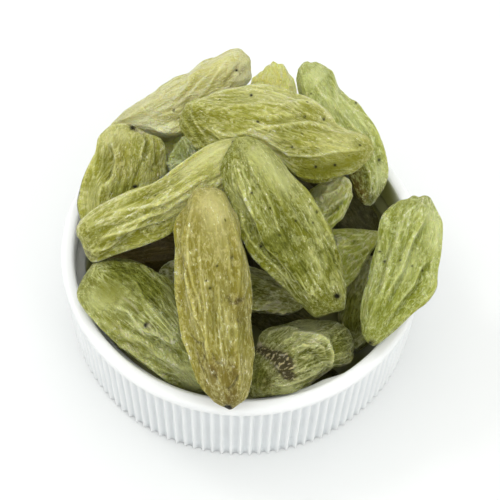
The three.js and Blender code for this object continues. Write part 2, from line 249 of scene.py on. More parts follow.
def raisinMaterial(name, skin, seed):
    # a waxy, half see-through skin: mottled between base and deep, with painted shade in recesses, on
    # downward faces and in dark zones, painted glow, painted highlight along its ridges, a broken net of
    # thin pale veins along the fruit, pale flecks that are painted glints, brown stains with crumbs, pores,
    # dark dots, and pale scars that are partly painted glints
    finish = raisinFinish
    shares = finish["shares"]
    settings = {**finish["shader"], "Subsurface Scale": skin["soften"]}
    material, tree, shader = newMaterial(name, settings)
    shift = (*[seed * step for step in finish["shift"]], 0.0)
    place = node(tree, "VectorMath", {0: attribute(tree, "skin", "Vector"), 1: shift},
                 operation="ADD").outputs[0]
    noises = {}
    for key, (along, across, detail, distortion) in finish["noises"].items():
        noises[key] = node(tree, "TexNoise", {
            "Vector": scaled(tree, place, (along, across, across)), "Scale": 1.0, "Detail": detail,
            "Roughness": finish["noiseRoughness"], "Distortion": distortion}).outputs[0]

    def times(first, second):
        return maths(tree, "MULTIPLY", first, second)

    def blended(key, tone):
        return mixed(tree, times(attribute(tree, key), shares[key]), colour, skin[tone])

    def veins(key):
        # 1 where the noise crosses its middle value, 0 from a width of vein away
        off = maths(tree, "ABSOLUTE", maths(tree, "SUBTRACT", noises[key], 0.5))
        return ranged(tree, off, finish["veinCore"] * finish[key], finish[key], 1.0, 0.0)

    patch = ranged(tree, noises["patch"], *finish["patch"])
    vein = times(maths(tree, "MAXIMUM", veins("wideVein"), veins("thinVein")), patch)
    streak, hair, grain = noises["streak"], noises["hair"], noises["grain"]
    colour = mixed(tree, ranged(tree, noises["mottle"], *finish["mottle"]), skin["deep"], skin["base"])
    # painted shade in recesses and where the skin faces down, and painted light where it glows paler
    for key, tone in (("hollow", "deep"), ("undersideShade", "deep"), ("paintedGlow", "pale")):
        colour = blended(key, tone)
    colour = mixed(tree, ranged(tree, streak, *finish["streakPale"]), colour, skin["pale"])
    colour = mixed(tree, ranged(tree, streak, *finish["streakDeep"]), colour, skin["deep"])
    # painted highlight along the ridges
    colour = blended("crest", "pale")
    colour = mixed(tree, ranged(tree, hair, *finish["hairPale"], skin["hair"]), colour, skin["pale"])
    hairDeep = finish["hairDeepShare"] * skin["hair"]
    colour = mixed(tree, ranged(tree, hair, *finish["hairDeep"], hairDeep), colour, skin["deep"])
    colour = mixed(tree, attribute(tree, "tan"), colour, skin["tan"])
    colour = mixed(tree, times(vein, shares["vein"]), colour, skin["pale"])
    # painted glints: near-white flecks
    raised = maths(tree, "ADD", times(attribute(tree, "crest"), finish["glintOnCrest"]), grain)
    colour = mixed(tree, times(ranged(tree, raised, *finish["paintedGlint"]), patch), colour, skin["paintedGlint"])
    colour = blended("warm", "warm")
    # painted shade: dark zones multiplied by a dark olive
    colour = mixed(tree, attribute(tree, "paintedShade"), colour, finish["paintedShade"], "MULTIPLY")
    crumb = node(tree, "TexNoise", {"Vector": scaled(tree, place, (finish["crumbScale"],) * 3), "Scale": 1.0,
                                    "Detail": 2.0}).outputs[0]
    stained = times(attribute(tree, "stain"), ranged(tree, crumb, *finish["crumbStain"]))
    crusted = mixed(tree, ranged(tree, crumb, *finish["crumbCrust"]), skin["stain"], skin["crust"])
    colour = mixed(tree, stained, colour, crusted)
    pores = node(tree, "TexVoronoi", {"Vector": scaled(tree, place, finish["poreScale"]), "Scale": 1.0})
    colour = mixed(tree, ranged(tree, pores.outputs[0], *finish["pore"]), colour, finish["poreColour"])
    # dark dots, and pale scars that are partly painted glints
    for key in ("dot", "scarAndGlint"):
        colour = mixed(tree, attribute(tree, key), colour, finish[key])
    tree.links.new(colour, shader.inputs["Base Color"])
    tree.links.new(ranged(tree, grain, *finish["roughness"]), shader.inputs["Roughness"])
    relief = vein
    for key, amount in finish["bump"].items():
        relief = maths(tree, "ADD", relief, times(noises[key], amount))
    bump = node(tree, "Bump", {"Strength": 1.0, "Distance": finish["bumpDepth"], "Height": relief},
                invert=True)
    tree.links.new(bump.outputs[0], shader.inputs["Normal"])
    return material


# Raisins

# rows and round are how many faces long and round a skin is. Each kind of wrinkle is lines of a length,
# a spacing and a width, and a height. least is how much of it is left where the skin is smooth, and pale
# how much painted highlight its ridges carry: a share everywhere, a share more where the skin is rough,
# and a power that narrows them. A range is where something starts to count and where it counts in full.
raisinLook = {
    "taper": 0.55, "foldDepth": 0.2, "foldSharp": 0.8, "uneven": (0.75, 0.5), "ripple": 0.035,
    "dentLength": 0.35, "dentRound": 2.2, "tipFill": 0.95, "plainTipFill": 0.5, "straight": 0.5,
    "crowding": 0.5,
    "rows": {"large": 186, "small": 118, "hidden": 40},
    "round": {"large": 156, "small": 104, "hidden": 40},
    "small": ("back", "under_top", "right", "middle", "under_left", "wedge", "under_back_left", "right_low"),
    "amber": ("front", "back_left", "back"),
    "wrinkles": [
        {"seed": 90, "lines": (8.0, 1.8, 0.22), "height": 0.09, "least": 0.5, "pale": (0.1, 0.25, 3)},
        {"seed": 130, "lines": (4.5, 0.95, 0.12), "height": 0.075, "least": 0.3, "pale": (0.1, 0.45, 2)},
        {"seed": 170, "lines": (2.4, 0.5, 0.08), "height": 0.075, "least": 0.0, "pale": (0.0, 1.1, 1)},
    ],
    "rough": {"seed": 50, "size": (4.5, 2.4, 2.4), "range": (-0.4, 0.35)},
    "lumps": [{"seed": 210, "size": 3.2, "share": 1.0}, {"seed": 250, "size": 1.5, "share": 0.5}],
    "lumpHeight": 0.12, "lumpSink": 0.5,
    "crumbs": {"seed": 290, "size": 0.5, "height": 0.26, "range": (0.5, 1.0)},
    # From here: how strong the painted highlight on fold edges and ridges is, and the painted shade in
    # recesses, in grooves and where the skin faces down.
    "foldHighlight": 0.3, "foldWidth": 0.12, "highlightLeast": 0.4, "hollow": 0.5, "hollowRange": (0.3, 0.9),
    "undersideShadeRange": (0.6, -0.35), "warmCalm": 0.7, "tipHeight": 0.2,
    "facing": (-0.05, 0.3), "markRun": 5.0, "markEnd": 0.35,
    "ridgeHighlight": 3.1, "paintedGrooveShade": 1.7, "grooveClear": 0.8, "dotStrength": 1.7,
}

# base, deep, pale, warm and tan are colours of the skin, stain and crust those of its brown marks, and
# fleck the colour of its painted glints. soften is how far light spreads under the skin, in metres, and
# hair how strong its finest streaks are.
skins = {
    "green": {"base": (0.496, 0.496, 0.0769), "deep": (0.229, 0.229, 0.00704), "pale": (0.902, 0.893, 0.395)},
    "olive": {"base": (0.348, 0.359, 0.0371), "deep": (0.134, 0.147, 0.00269), "pale": (0.791, 0.81, 0.331)},
    "fresh": {"base": (0.458, 0.499, 0.092), "deep": (0.226, 0.257, 0.0122), "pale": (0.86, 0.916, 0.421)},
    "dark": {"base": (0.398, 0.415, 0.077), "deep": (0.144, 0.149, 0.00744), "pale": (0.869, 0.907, 0.405),
             "soften": 0.0006},
    "sage": {"base": (0.273, 0.289, 0.0529), "deep": (0.0989, 0.105, 0.00512), "pale": (0.85, 0.87, 0.4),
             "soften": 0.0006},
    "amber": {"base": (0.375, 0.332, 0.05), "deep": (0.29, 0.247, 0.027), "pale": (0.82, 0.76, 0.32),
              "hair": 0.22},
    "straw": {"base": (0.83, 0.8, 0.31), "deep": (0.5, 0.46, 0.11), "pale": (0.985, 0.965, 0.571)},
    "misty": {"base": (0.476, 0.524, 0.128), "deep": (0.27, 0.301, 0.0553), "pale": (0.786, 0.851, 0.463)},
    # painted light: a near-white skin for raisins that glow with light from behind
    "paintedBacklight": {"base": (0.87, 0.86, 0.25), "deep": (0.83, 0.81, 0.18), "pale": (1.0, 1.0, 0.48)},
    "bright": {"base": (0.613, 0.661, 0.107), "deep": (0.333, 0.377, 0.0202), "pale": (0.935, 0.935, 0.449)},
    "gloom": {"base": (0.465, 0.474, 0.0949), "deep": (0.158, 0.158, 0.0237), "pale": (0.965, 0.965, 0.531),
              "soften": 0.0006},
    "brown": {"base": (0.17, 0.13, 0.04), "deep": (0.085, 0.065, 0.015), "pale": (0.22, 0.175, 0.065),
              "paintedGlint": (0.3, 0.25, 0.1)},
    "shade": {"base": (0.129, 0.126, 0.0383), "deep": (0.0612, 0.0564, 0.0155), "pale": (0.22, 0.21, 0.09),
              "paintedGlint": (0.3, 0.28, 0.12)},
}
plainSkin = {"warm": (0.3, 0.3, 0.021), "tan": (0.225, 0.167, 0.033), "paintedGlint": (1.0, 1.0, 0.66),
             "stain": (0.1, 0.086, 0.036), "crust": (0.62, 0.52, 0.3), "hair": 0.36, "soften": 0.0013}

# The same list as the solids have: turn is heading, pitch and roll in degrees, and size is length, width
# and thickness. full is the bluntness of ends that the photograph shows fuller than the plain solid's,
# and relief how strong the wrinkles are.
raisins = {
    "front": {"turn": (-81, -28, -8), "size": (22.6, 8.1, 6.6), "arch": 14, "sway": -0.7, "egg": -0.06,
              "blunt": (3.2, 2.6), "folds": 6, "seed": 1, "skin": "amber", "full": (4.0, 3.2), "relief": 0.6},
    "left": {"turn": (20, 30, -5), "size": (21.2, 6.3, 5.2), "arch": 3, "sway": -1.1, "egg": -0.08,
             "blunt": (4.6, 2.8), "folds": 5, "seed": 2, "full": (4.6, 5.0), "relief": 0.7},
    "centre": {"turn": (-49, -40, 10), "size": (21.7, 9.2, 6.2), "arch": 14, "sway": -0.8,
               "blunt": (1.8, 1.9), "folds": 6, "seed": 3, "skin": "olive", "full": (4.0, 3.0),
               "relief": 0.8},
    "top": {"turn": (-12, -5, 5), "size": (20.7, 10.3, 6.8), "arch": 10, "sway": 0.4, "egg": -0.03,
            "blunt": (1.8, 1.6), "folds": 5, "seed": 4, "full": (3.0, 2.0), "relief": 0.8},
    "back_left": {"turn": (20, 20, -10), "size": (18, 6, 5.4), "sway": -0.8, "egg": 0.25, "blunt": (1.8, 3.2),
                  "folds": 5, "seed": 5, "skin": "straw", "full": (2.0, 4.6), "relief": 0.75},
    "left_rim": {"turn": (-104, -20, -6), "size": (15.8, 9.2, 5.8), "arch": 14, "sway": 0.6,
                 "blunt": (3.6, 1.8), "folds": 5, "seed": 6, "dents": [(-0.3, 120, 0.2)], "full": (4.2, 2.4),
                 "relief": 0.45},
    "back_right": {"turn": (-58, -27, -8), "size": (18.4, 8.2, 5.8), "arch": 16, "egg": 0.15,
                   "blunt": (2, 2.5), "folds": 5, "seed": 7, "skin": "fresh", "full": (3.6, 3.0),
                   "relief": 0.65},
    "back": {"turn": (-83, -24, 5), "size": (11.8, 7.9, 5.2), "sway": -0.6, "egg": 0.07, "blunt": (1.7, 2.4),
             "folds": 4, "seed": 8, "skin": "paintedBacklight", "relief": 0.3},
    "right_rim": {"turn": (-107, -5, 0), "size": (18.2, 7.9, 5.6), "arch": 10, "sway": 1, "egg": -0.13,
                  "blunt": (2.9, 1.6), "folds": 6, "seed": 9, "skin": "fresh", "full": (3.6, 2.2),
                  "relief": 0.7},
    "front_left": {"turn": (-37, -24, 14), "size": (20.8, 9.1, 5.6), "arch": 8, "sway": 1.1, "egg": -0.15,
                   "blunt": (4, 2.4), "folds": 5, "seed": 10, "skin": "dark", "full": (4.0, 3.0),
                   "relief": 1.3},
    "under_top": {"turn": (-125, -36, 12), "size": (11, 6.2, 5), "blunt": (2.6, 2.6), "folds": 4, "seed": 11,
                  "dents": [(-0.2, 90, 0.25)], "skin": "bright", "full": (2.6, 3.4), "relief": 1.5},
    "right": {"turn": (60, 8, 5), "size": (13, 7.2, 4.8), "sway": 0.6, "blunt": (2.4, 2.1), "folds": 5,
              "seed": 12, "skin": "bright", "relief": 1.3},
    "front_right": {"turn": (41, -30, -20), "size": (14, 11, 7.6), "sway": -0.4, "blunt": (2.2, 2.5),
                    "folds": 4, "seed": 13, "dents": [(0.2, 60, 0.25)], "skin": "sage", "full": (2.6, 3.0)},
    "middle": {"turn": (-2, -14, 7), "size": (17, 6.4, 5), "folds": 5, "relief": 1.8, "seed": 14,
               "skin": "gloom"},
    "under_left": {"turn": (12, 2, 0), "size": (13, 5.8, 4.6), "folds": 5, "seed": 15, "skin": "brown"},
    "wedge": {"turn": (-55, -33, 20), "size": (12, 6, 5), "folds": 5, "seed": 18, "skin": "misty"},
    "under_back_left": {"turn": (-25, -20, -20), "size": (10.5, 5.8, 4.8), "folds": 4, "seed": 19,
                        "skin": "paintedBacklight"},
    "right_low": {"turn": (64, 6, 0), "size": (11.5, 5.2, 4.6), "folds": 5, "seed": 20, "skin": "gloom"},
    "right_back_low": {"turn": (-52, -10, 20), "size": (13, 7, 5.6), "folds": 4, "seed": 17, "hidden": True},
    "floor_left": {"turn": (-58, -6, 0), "size": (15, 6.4, 5), "folds": 5, "seed": 21, "hidden": True},
    "floor_middle": {"turn": (-66, 2, 0), "size": (17, 6.4, 5), "folds": 5, "seed": 22, "hidden": True},
    "floor_centre": {"turn": (-62, -2, 10), "size": (14, 6.2, 5), "folds": 4, "seed": 23, "hidden": True},
    "floor_back": {"turn": (-2, 0, 10), "size": (13, 6, 5), "folds": 5, "seed": 24, "hidden": True},
    "floor_right": {"turn": (-58, -3, 0), "size": (15, 6, 5), "folds": 4, "seed": 25, "hidden": True},
    "lower_left": {"turn": (-38, 2, -15), "size": (13, 6.4, 5.2), "folds": 5, "seed": 26, "hidden": True},
    "lower_back": {"turn": (-47, 4, -20), "size": (12, 6.2, 5.6), "folds": 4, "seed": 27, "hidden": True},
    "floor_front": {"turn": (-30, 0, 0), "size": (13, 6, 4.6), "folds": 4, "seed": 28, "hidden": True},
    "floor_rim": {"turn": (24, 0, 0), "size": (10.5, 4.8, 4.2), "folds": 4, "seed": 32, "hidden": True},
    "prop_back": {"turn": (66, 2, 0), "size": (15, 6.6, 5.8), "folds": 5, "seed": 29, "hidden": True},
    "prop_centre": {"turn": (-48, -36, 0), "size": (13, 5.8, 4.8), "folds": 5, "seed": 30, "hidden": True},
    "prop_left": {"turn": (-64, 40, 0), "size": (13, 5.6, 4.8), "folds": 4, "seed": 31, "hidden": True},
}
plain = {"arch": 0, "sway": 0, "egg": 0, "blunt": (2.4, 2.4), "dents": [], "skin": "green", "hidden": False,
         "full": None, "relief": 1.0}

# The outlines of the raisins as the photograph shows them, in its pixels; where a raisin goes on under
# another, its outline is carried on.
outlines = {
    "front": [
        (200, 187), (208, 186), (215, 187), (222, 190), (226, 193), (229, 200), (233, 209), (239, 217),
        (241, 224), (241, 234), (243, 245), (247, 257), (249, 266), (251, 276), (252, 290), (253, 302),
        (251, 312), (250, 320), (252, 330), (253, 340), (255, 350), (255, 356), (252, 362), (253, 372),
        (252, 380), (249, 392), (246, 399), (238, 405), (233, 409), (230, 410), (226, 408), (219, 405),
        (213, 401), (208, 395), (203, 390), (199, 384), (196, 379), (193, 370), (190, 362), (187, 350),
        (183, 342), (180, 333), (179, 320), (177, 308), (175, 298), (174, 285), (174, 270), (175, 258),
        (175, 246), (174, 236), (173, 228), (176, 221), (180, 213), (186, 206), (189, 198), (193, 190)],
    "left": [
        (81, 219), (86, 215), (92, 210), (100, 205), (110, 200), (120, 195), (125, 192), (130, 190),
        (140, 188), (150, 185), (158, 180), (164, 177), (170, 171), (176, 167), (183, 161), (191, 156),
        (198, 151), (206, 146), (212, 143), (220, 140), (230, 138), (240, 137), (249, 139), (254, 148),
        (250, 165), (236, 184), (217, 199), (201, 211), (187, 222), (174, 231), (166, 237), (158, 240),
        (145, 245), (133, 249), (120, 253), (108, 258), (99, 262), (92, 262), (86, 255), (83, 247), (80, 240),
        (77, 236), (76, 231), (77, 226)],
    "centre": [
        (237, 137), (246, 136), (252, 137), (258, 140), (264, 143), (270, 148), (276, 153), (282, 160),
        (286, 167), (291, 174), (297, 180), (304, 187), (310, 192), (316, 201), (320, 211), (325, 218),
        (330, 225), (334, 237), (337, 245), (340, 253), (342, 268), (345, 278), (347, 286), (347, 293),
        (346, 301), (345, 309), (340, 311), (331, 313), (325, 315), (318, 317), (313, 317), (307, 311),
        (301, 305), (295, 301), (290, 294), (282, 286), (275, 279), (265, 270), (258, 264), (250, 256),
        (245, 246), (240, 236), (237, 226), (234, 212), (229, 200), (224, 190), (221, 178), (220, 168),
        (223, 157), (229, 147)],
    "top": [
        (186, 103), (197, 98), (205, 97), (213, 93), (220, 90), (232, 88), (244, 87), (254, 84), (266, 84),
        (277, 86), (287, 89), (295, 94), (303, 95), (311, 98), (321, 105), (329, 112), (336, 124), (351, 131),
        (365, 134), (371, 140), (374, 149), (371, 157), (366, 163), (360, 168), (352, 174), (345, 175),
        (336, 178), (329, 181), (321, 183), (310, 183), (302, 181), (292, 172), (283, 162), (265, 157),
        (245, 153), (225, 151), (205, 150), (197, 150), (192, 143), (186, 137), (181, 130), (179, 124),
        (180, 117), (183, 110)],
    "back_left": [
        (111, 124), (116, 119), (120, 115), (125, 110), (130, 107), (137, 102), (143, 99), (150, 94),
        (157, 90), (160, 86), (165, 83), (171, 80), (174, 77), (178, 76), (185, 74), (190, 73), (193, 70),
        (197, 65), (201, 62), (206, 59), (212, 58), (217, 57), (222, 54), (226, 51), (230, 49), (236, 48),
        (241, 49), (245, 53), (249, 56), (251, 61), (251, 70), (252, 78), (248, 84), (240, 91), (226, 99),
        (208, 110), (192, 124), (184, 134), (174, 140), (165, 142), (156, 141), (146, 138), (134, 133),
        (122, 129)],
    "left_rim": [
        (112, 124), (108, 127), (103, 132), (98, 137), (97, 144), (97, 149), (94, 154), (91, 160), (88, 166),
        (85, 172), (82, 180), (80, 188), (78, 196), (77, 203), (78, 209), (80, 218), (86, 224), (97, 227),
        (118, 222), (145, 207), (163, 188), (168, 172), (167, 160), (167, 150), (164, 143), (160, 138),
        (155, 136), (147, 133), (140, 129), (130, 124), (122, 123)],
    "back_right": [
        (296, 80), (297, 74), (298, 69), (301, 65), (304, 62), (308, 61), (311, 63), (314, 62), (317, 62),
        (321, 64), (325, 66), (329, 69), (333, 71), (335, 75), (336, 79), (335, 83), (340, 89), (345, 94),
        (350, 99), (354, 102), (357, 102), (360, 105), (364, 111), (368, 117), (372, 121), (376, 127),
        (379, 133), (382, 141), (385, 150), (387, 160), (388, 168), (388, 176), (386, 183), (384, 188),
        (379, 196), (374, 203), (370, 206), (364, 205), (357, 198), (352, 186), (348, 172), (338, 150),
        (322, 128), (306, 108), (298, 92)],
    "back": [
        (252, 78), (256, 76), (260, 72), (263, 71), (265, 67), (268, 65), (271, 64), (273, 61), (275, 62),
        (278, 64), (283, 64), (285, 66), (287, 70), (289, 74), (292, 77), (294, 79), (297, 90), (296, 105),
        (287, 118), (272, 122), (258, 116), (250, 104), (249, 90)],
    "right_rim": [
        (398, 201), (402, 200), (407, 199), (411, 196), (414, 195), (416, 196), (419, 197), (424, 195),
        (428, 196), (431, 198), (433, 202), (436, 208), (438, 213), (441, 218), (443, 225), (443, 235),
        (442, 245), (441, 254), (440, 261), (438, 268), (437, 278), (437, 288), (434, 293), (431, 298),
        (426, 303), (419, 308), (412, 314), (405, 321), (398, 328), (390, 335), (384, 340), (378, 344),
        (373, 346), (369, 344), (366, 341), (362, 334), (361, 323), (360, 317), (360, 310), (361, 303),
        (363, 293), (367, 282), (369, 272), (371, 262), (374, 252), (377, 243), (378, 230), (380, 222),
        (381, 216), (384, 213), (388, 209), (393, 205)],
    "front_left": [
        (92, 264), (88, 270), (84, 276), (81, 282), (78, 289), (77, 296), (79, 303), (84, 309), (87, 314),
        (92, 319), (100, 328), (106, 335), (112, 340), (121, 348), (132, 356), (140, 362), (147, 367),
        (158, 377), (165, 381), (175, 385), (181, 388), (190, 390), (200, 392), (208, 390), (210, 378),
        (205, 355), (196, 325), (184, 300), (174, 283), (168, 277), (162, 275), (156, 272), (150, 268),
        (145, 265), (138, 262), (128, 259), (115, 258), (102, 260)],
    "under_top": [
        (330, 180), (337, 177), (344, 176), (349, 179), (352, 184), (352, 192), (353, 196), (351, 201),
        (348, 208), (345, 214), (343, 219), (338, 222), (332, 228), (322, 234), (310, 236), (302, 226),
        (301, 208), (308, 192), (319, 184)],
    "wedge": [
        (166, 172), (169, 158), (175, 147), (182, 137), (190, 134), (198, 140), (204, 152), (204, 164),
        (192, 172), (178, 176)],
    "under_back_left": [
        (155, 134), (163, 125), (173, 119), (184, 116), (192, 122), (190, 136), (182, 150), (173, 158),
        (164, 152), (158, 143)],
    "right": [
        (325, 231), (335, 230), (345, 229), (360, 229), (370, 230), (379, 231), (383, 238), (377, 245),
        (372, 251), (368, 259), (363, 266), (360, 272), (352, 281), (346, 288), (338, 290), (330, 282),
        (324, 262), (321, 244)],
    "right_low": [
        (338, 318), (340, 300), (345, 282), (352, 268), (362, 258), (374, 256), (379, 275), (379, 300),
        (375, 330), (368, 345), (358, 352), (348, 350), (341, 335)],
    "front_right": [
        (256, 346), (258, 341), (259, 336), (264, 330), (271, 327), (280, 325), (288, 323), (296, 320),
        (306, 319), (316, 320), (326, 320), (335, 321), (343, 325), (349, 330), (352, 336), (354, 343),
        (354, 352), (353, 359), (350, 364), (344, 366), (339, 367), (334, 368), (330, 370), (326, 373),
        (319, 378), (312, 384), (300, 390), (290, 394), (270, 397), (252, 398), (246, 390), (245, 372),
        (250, 356)],
}
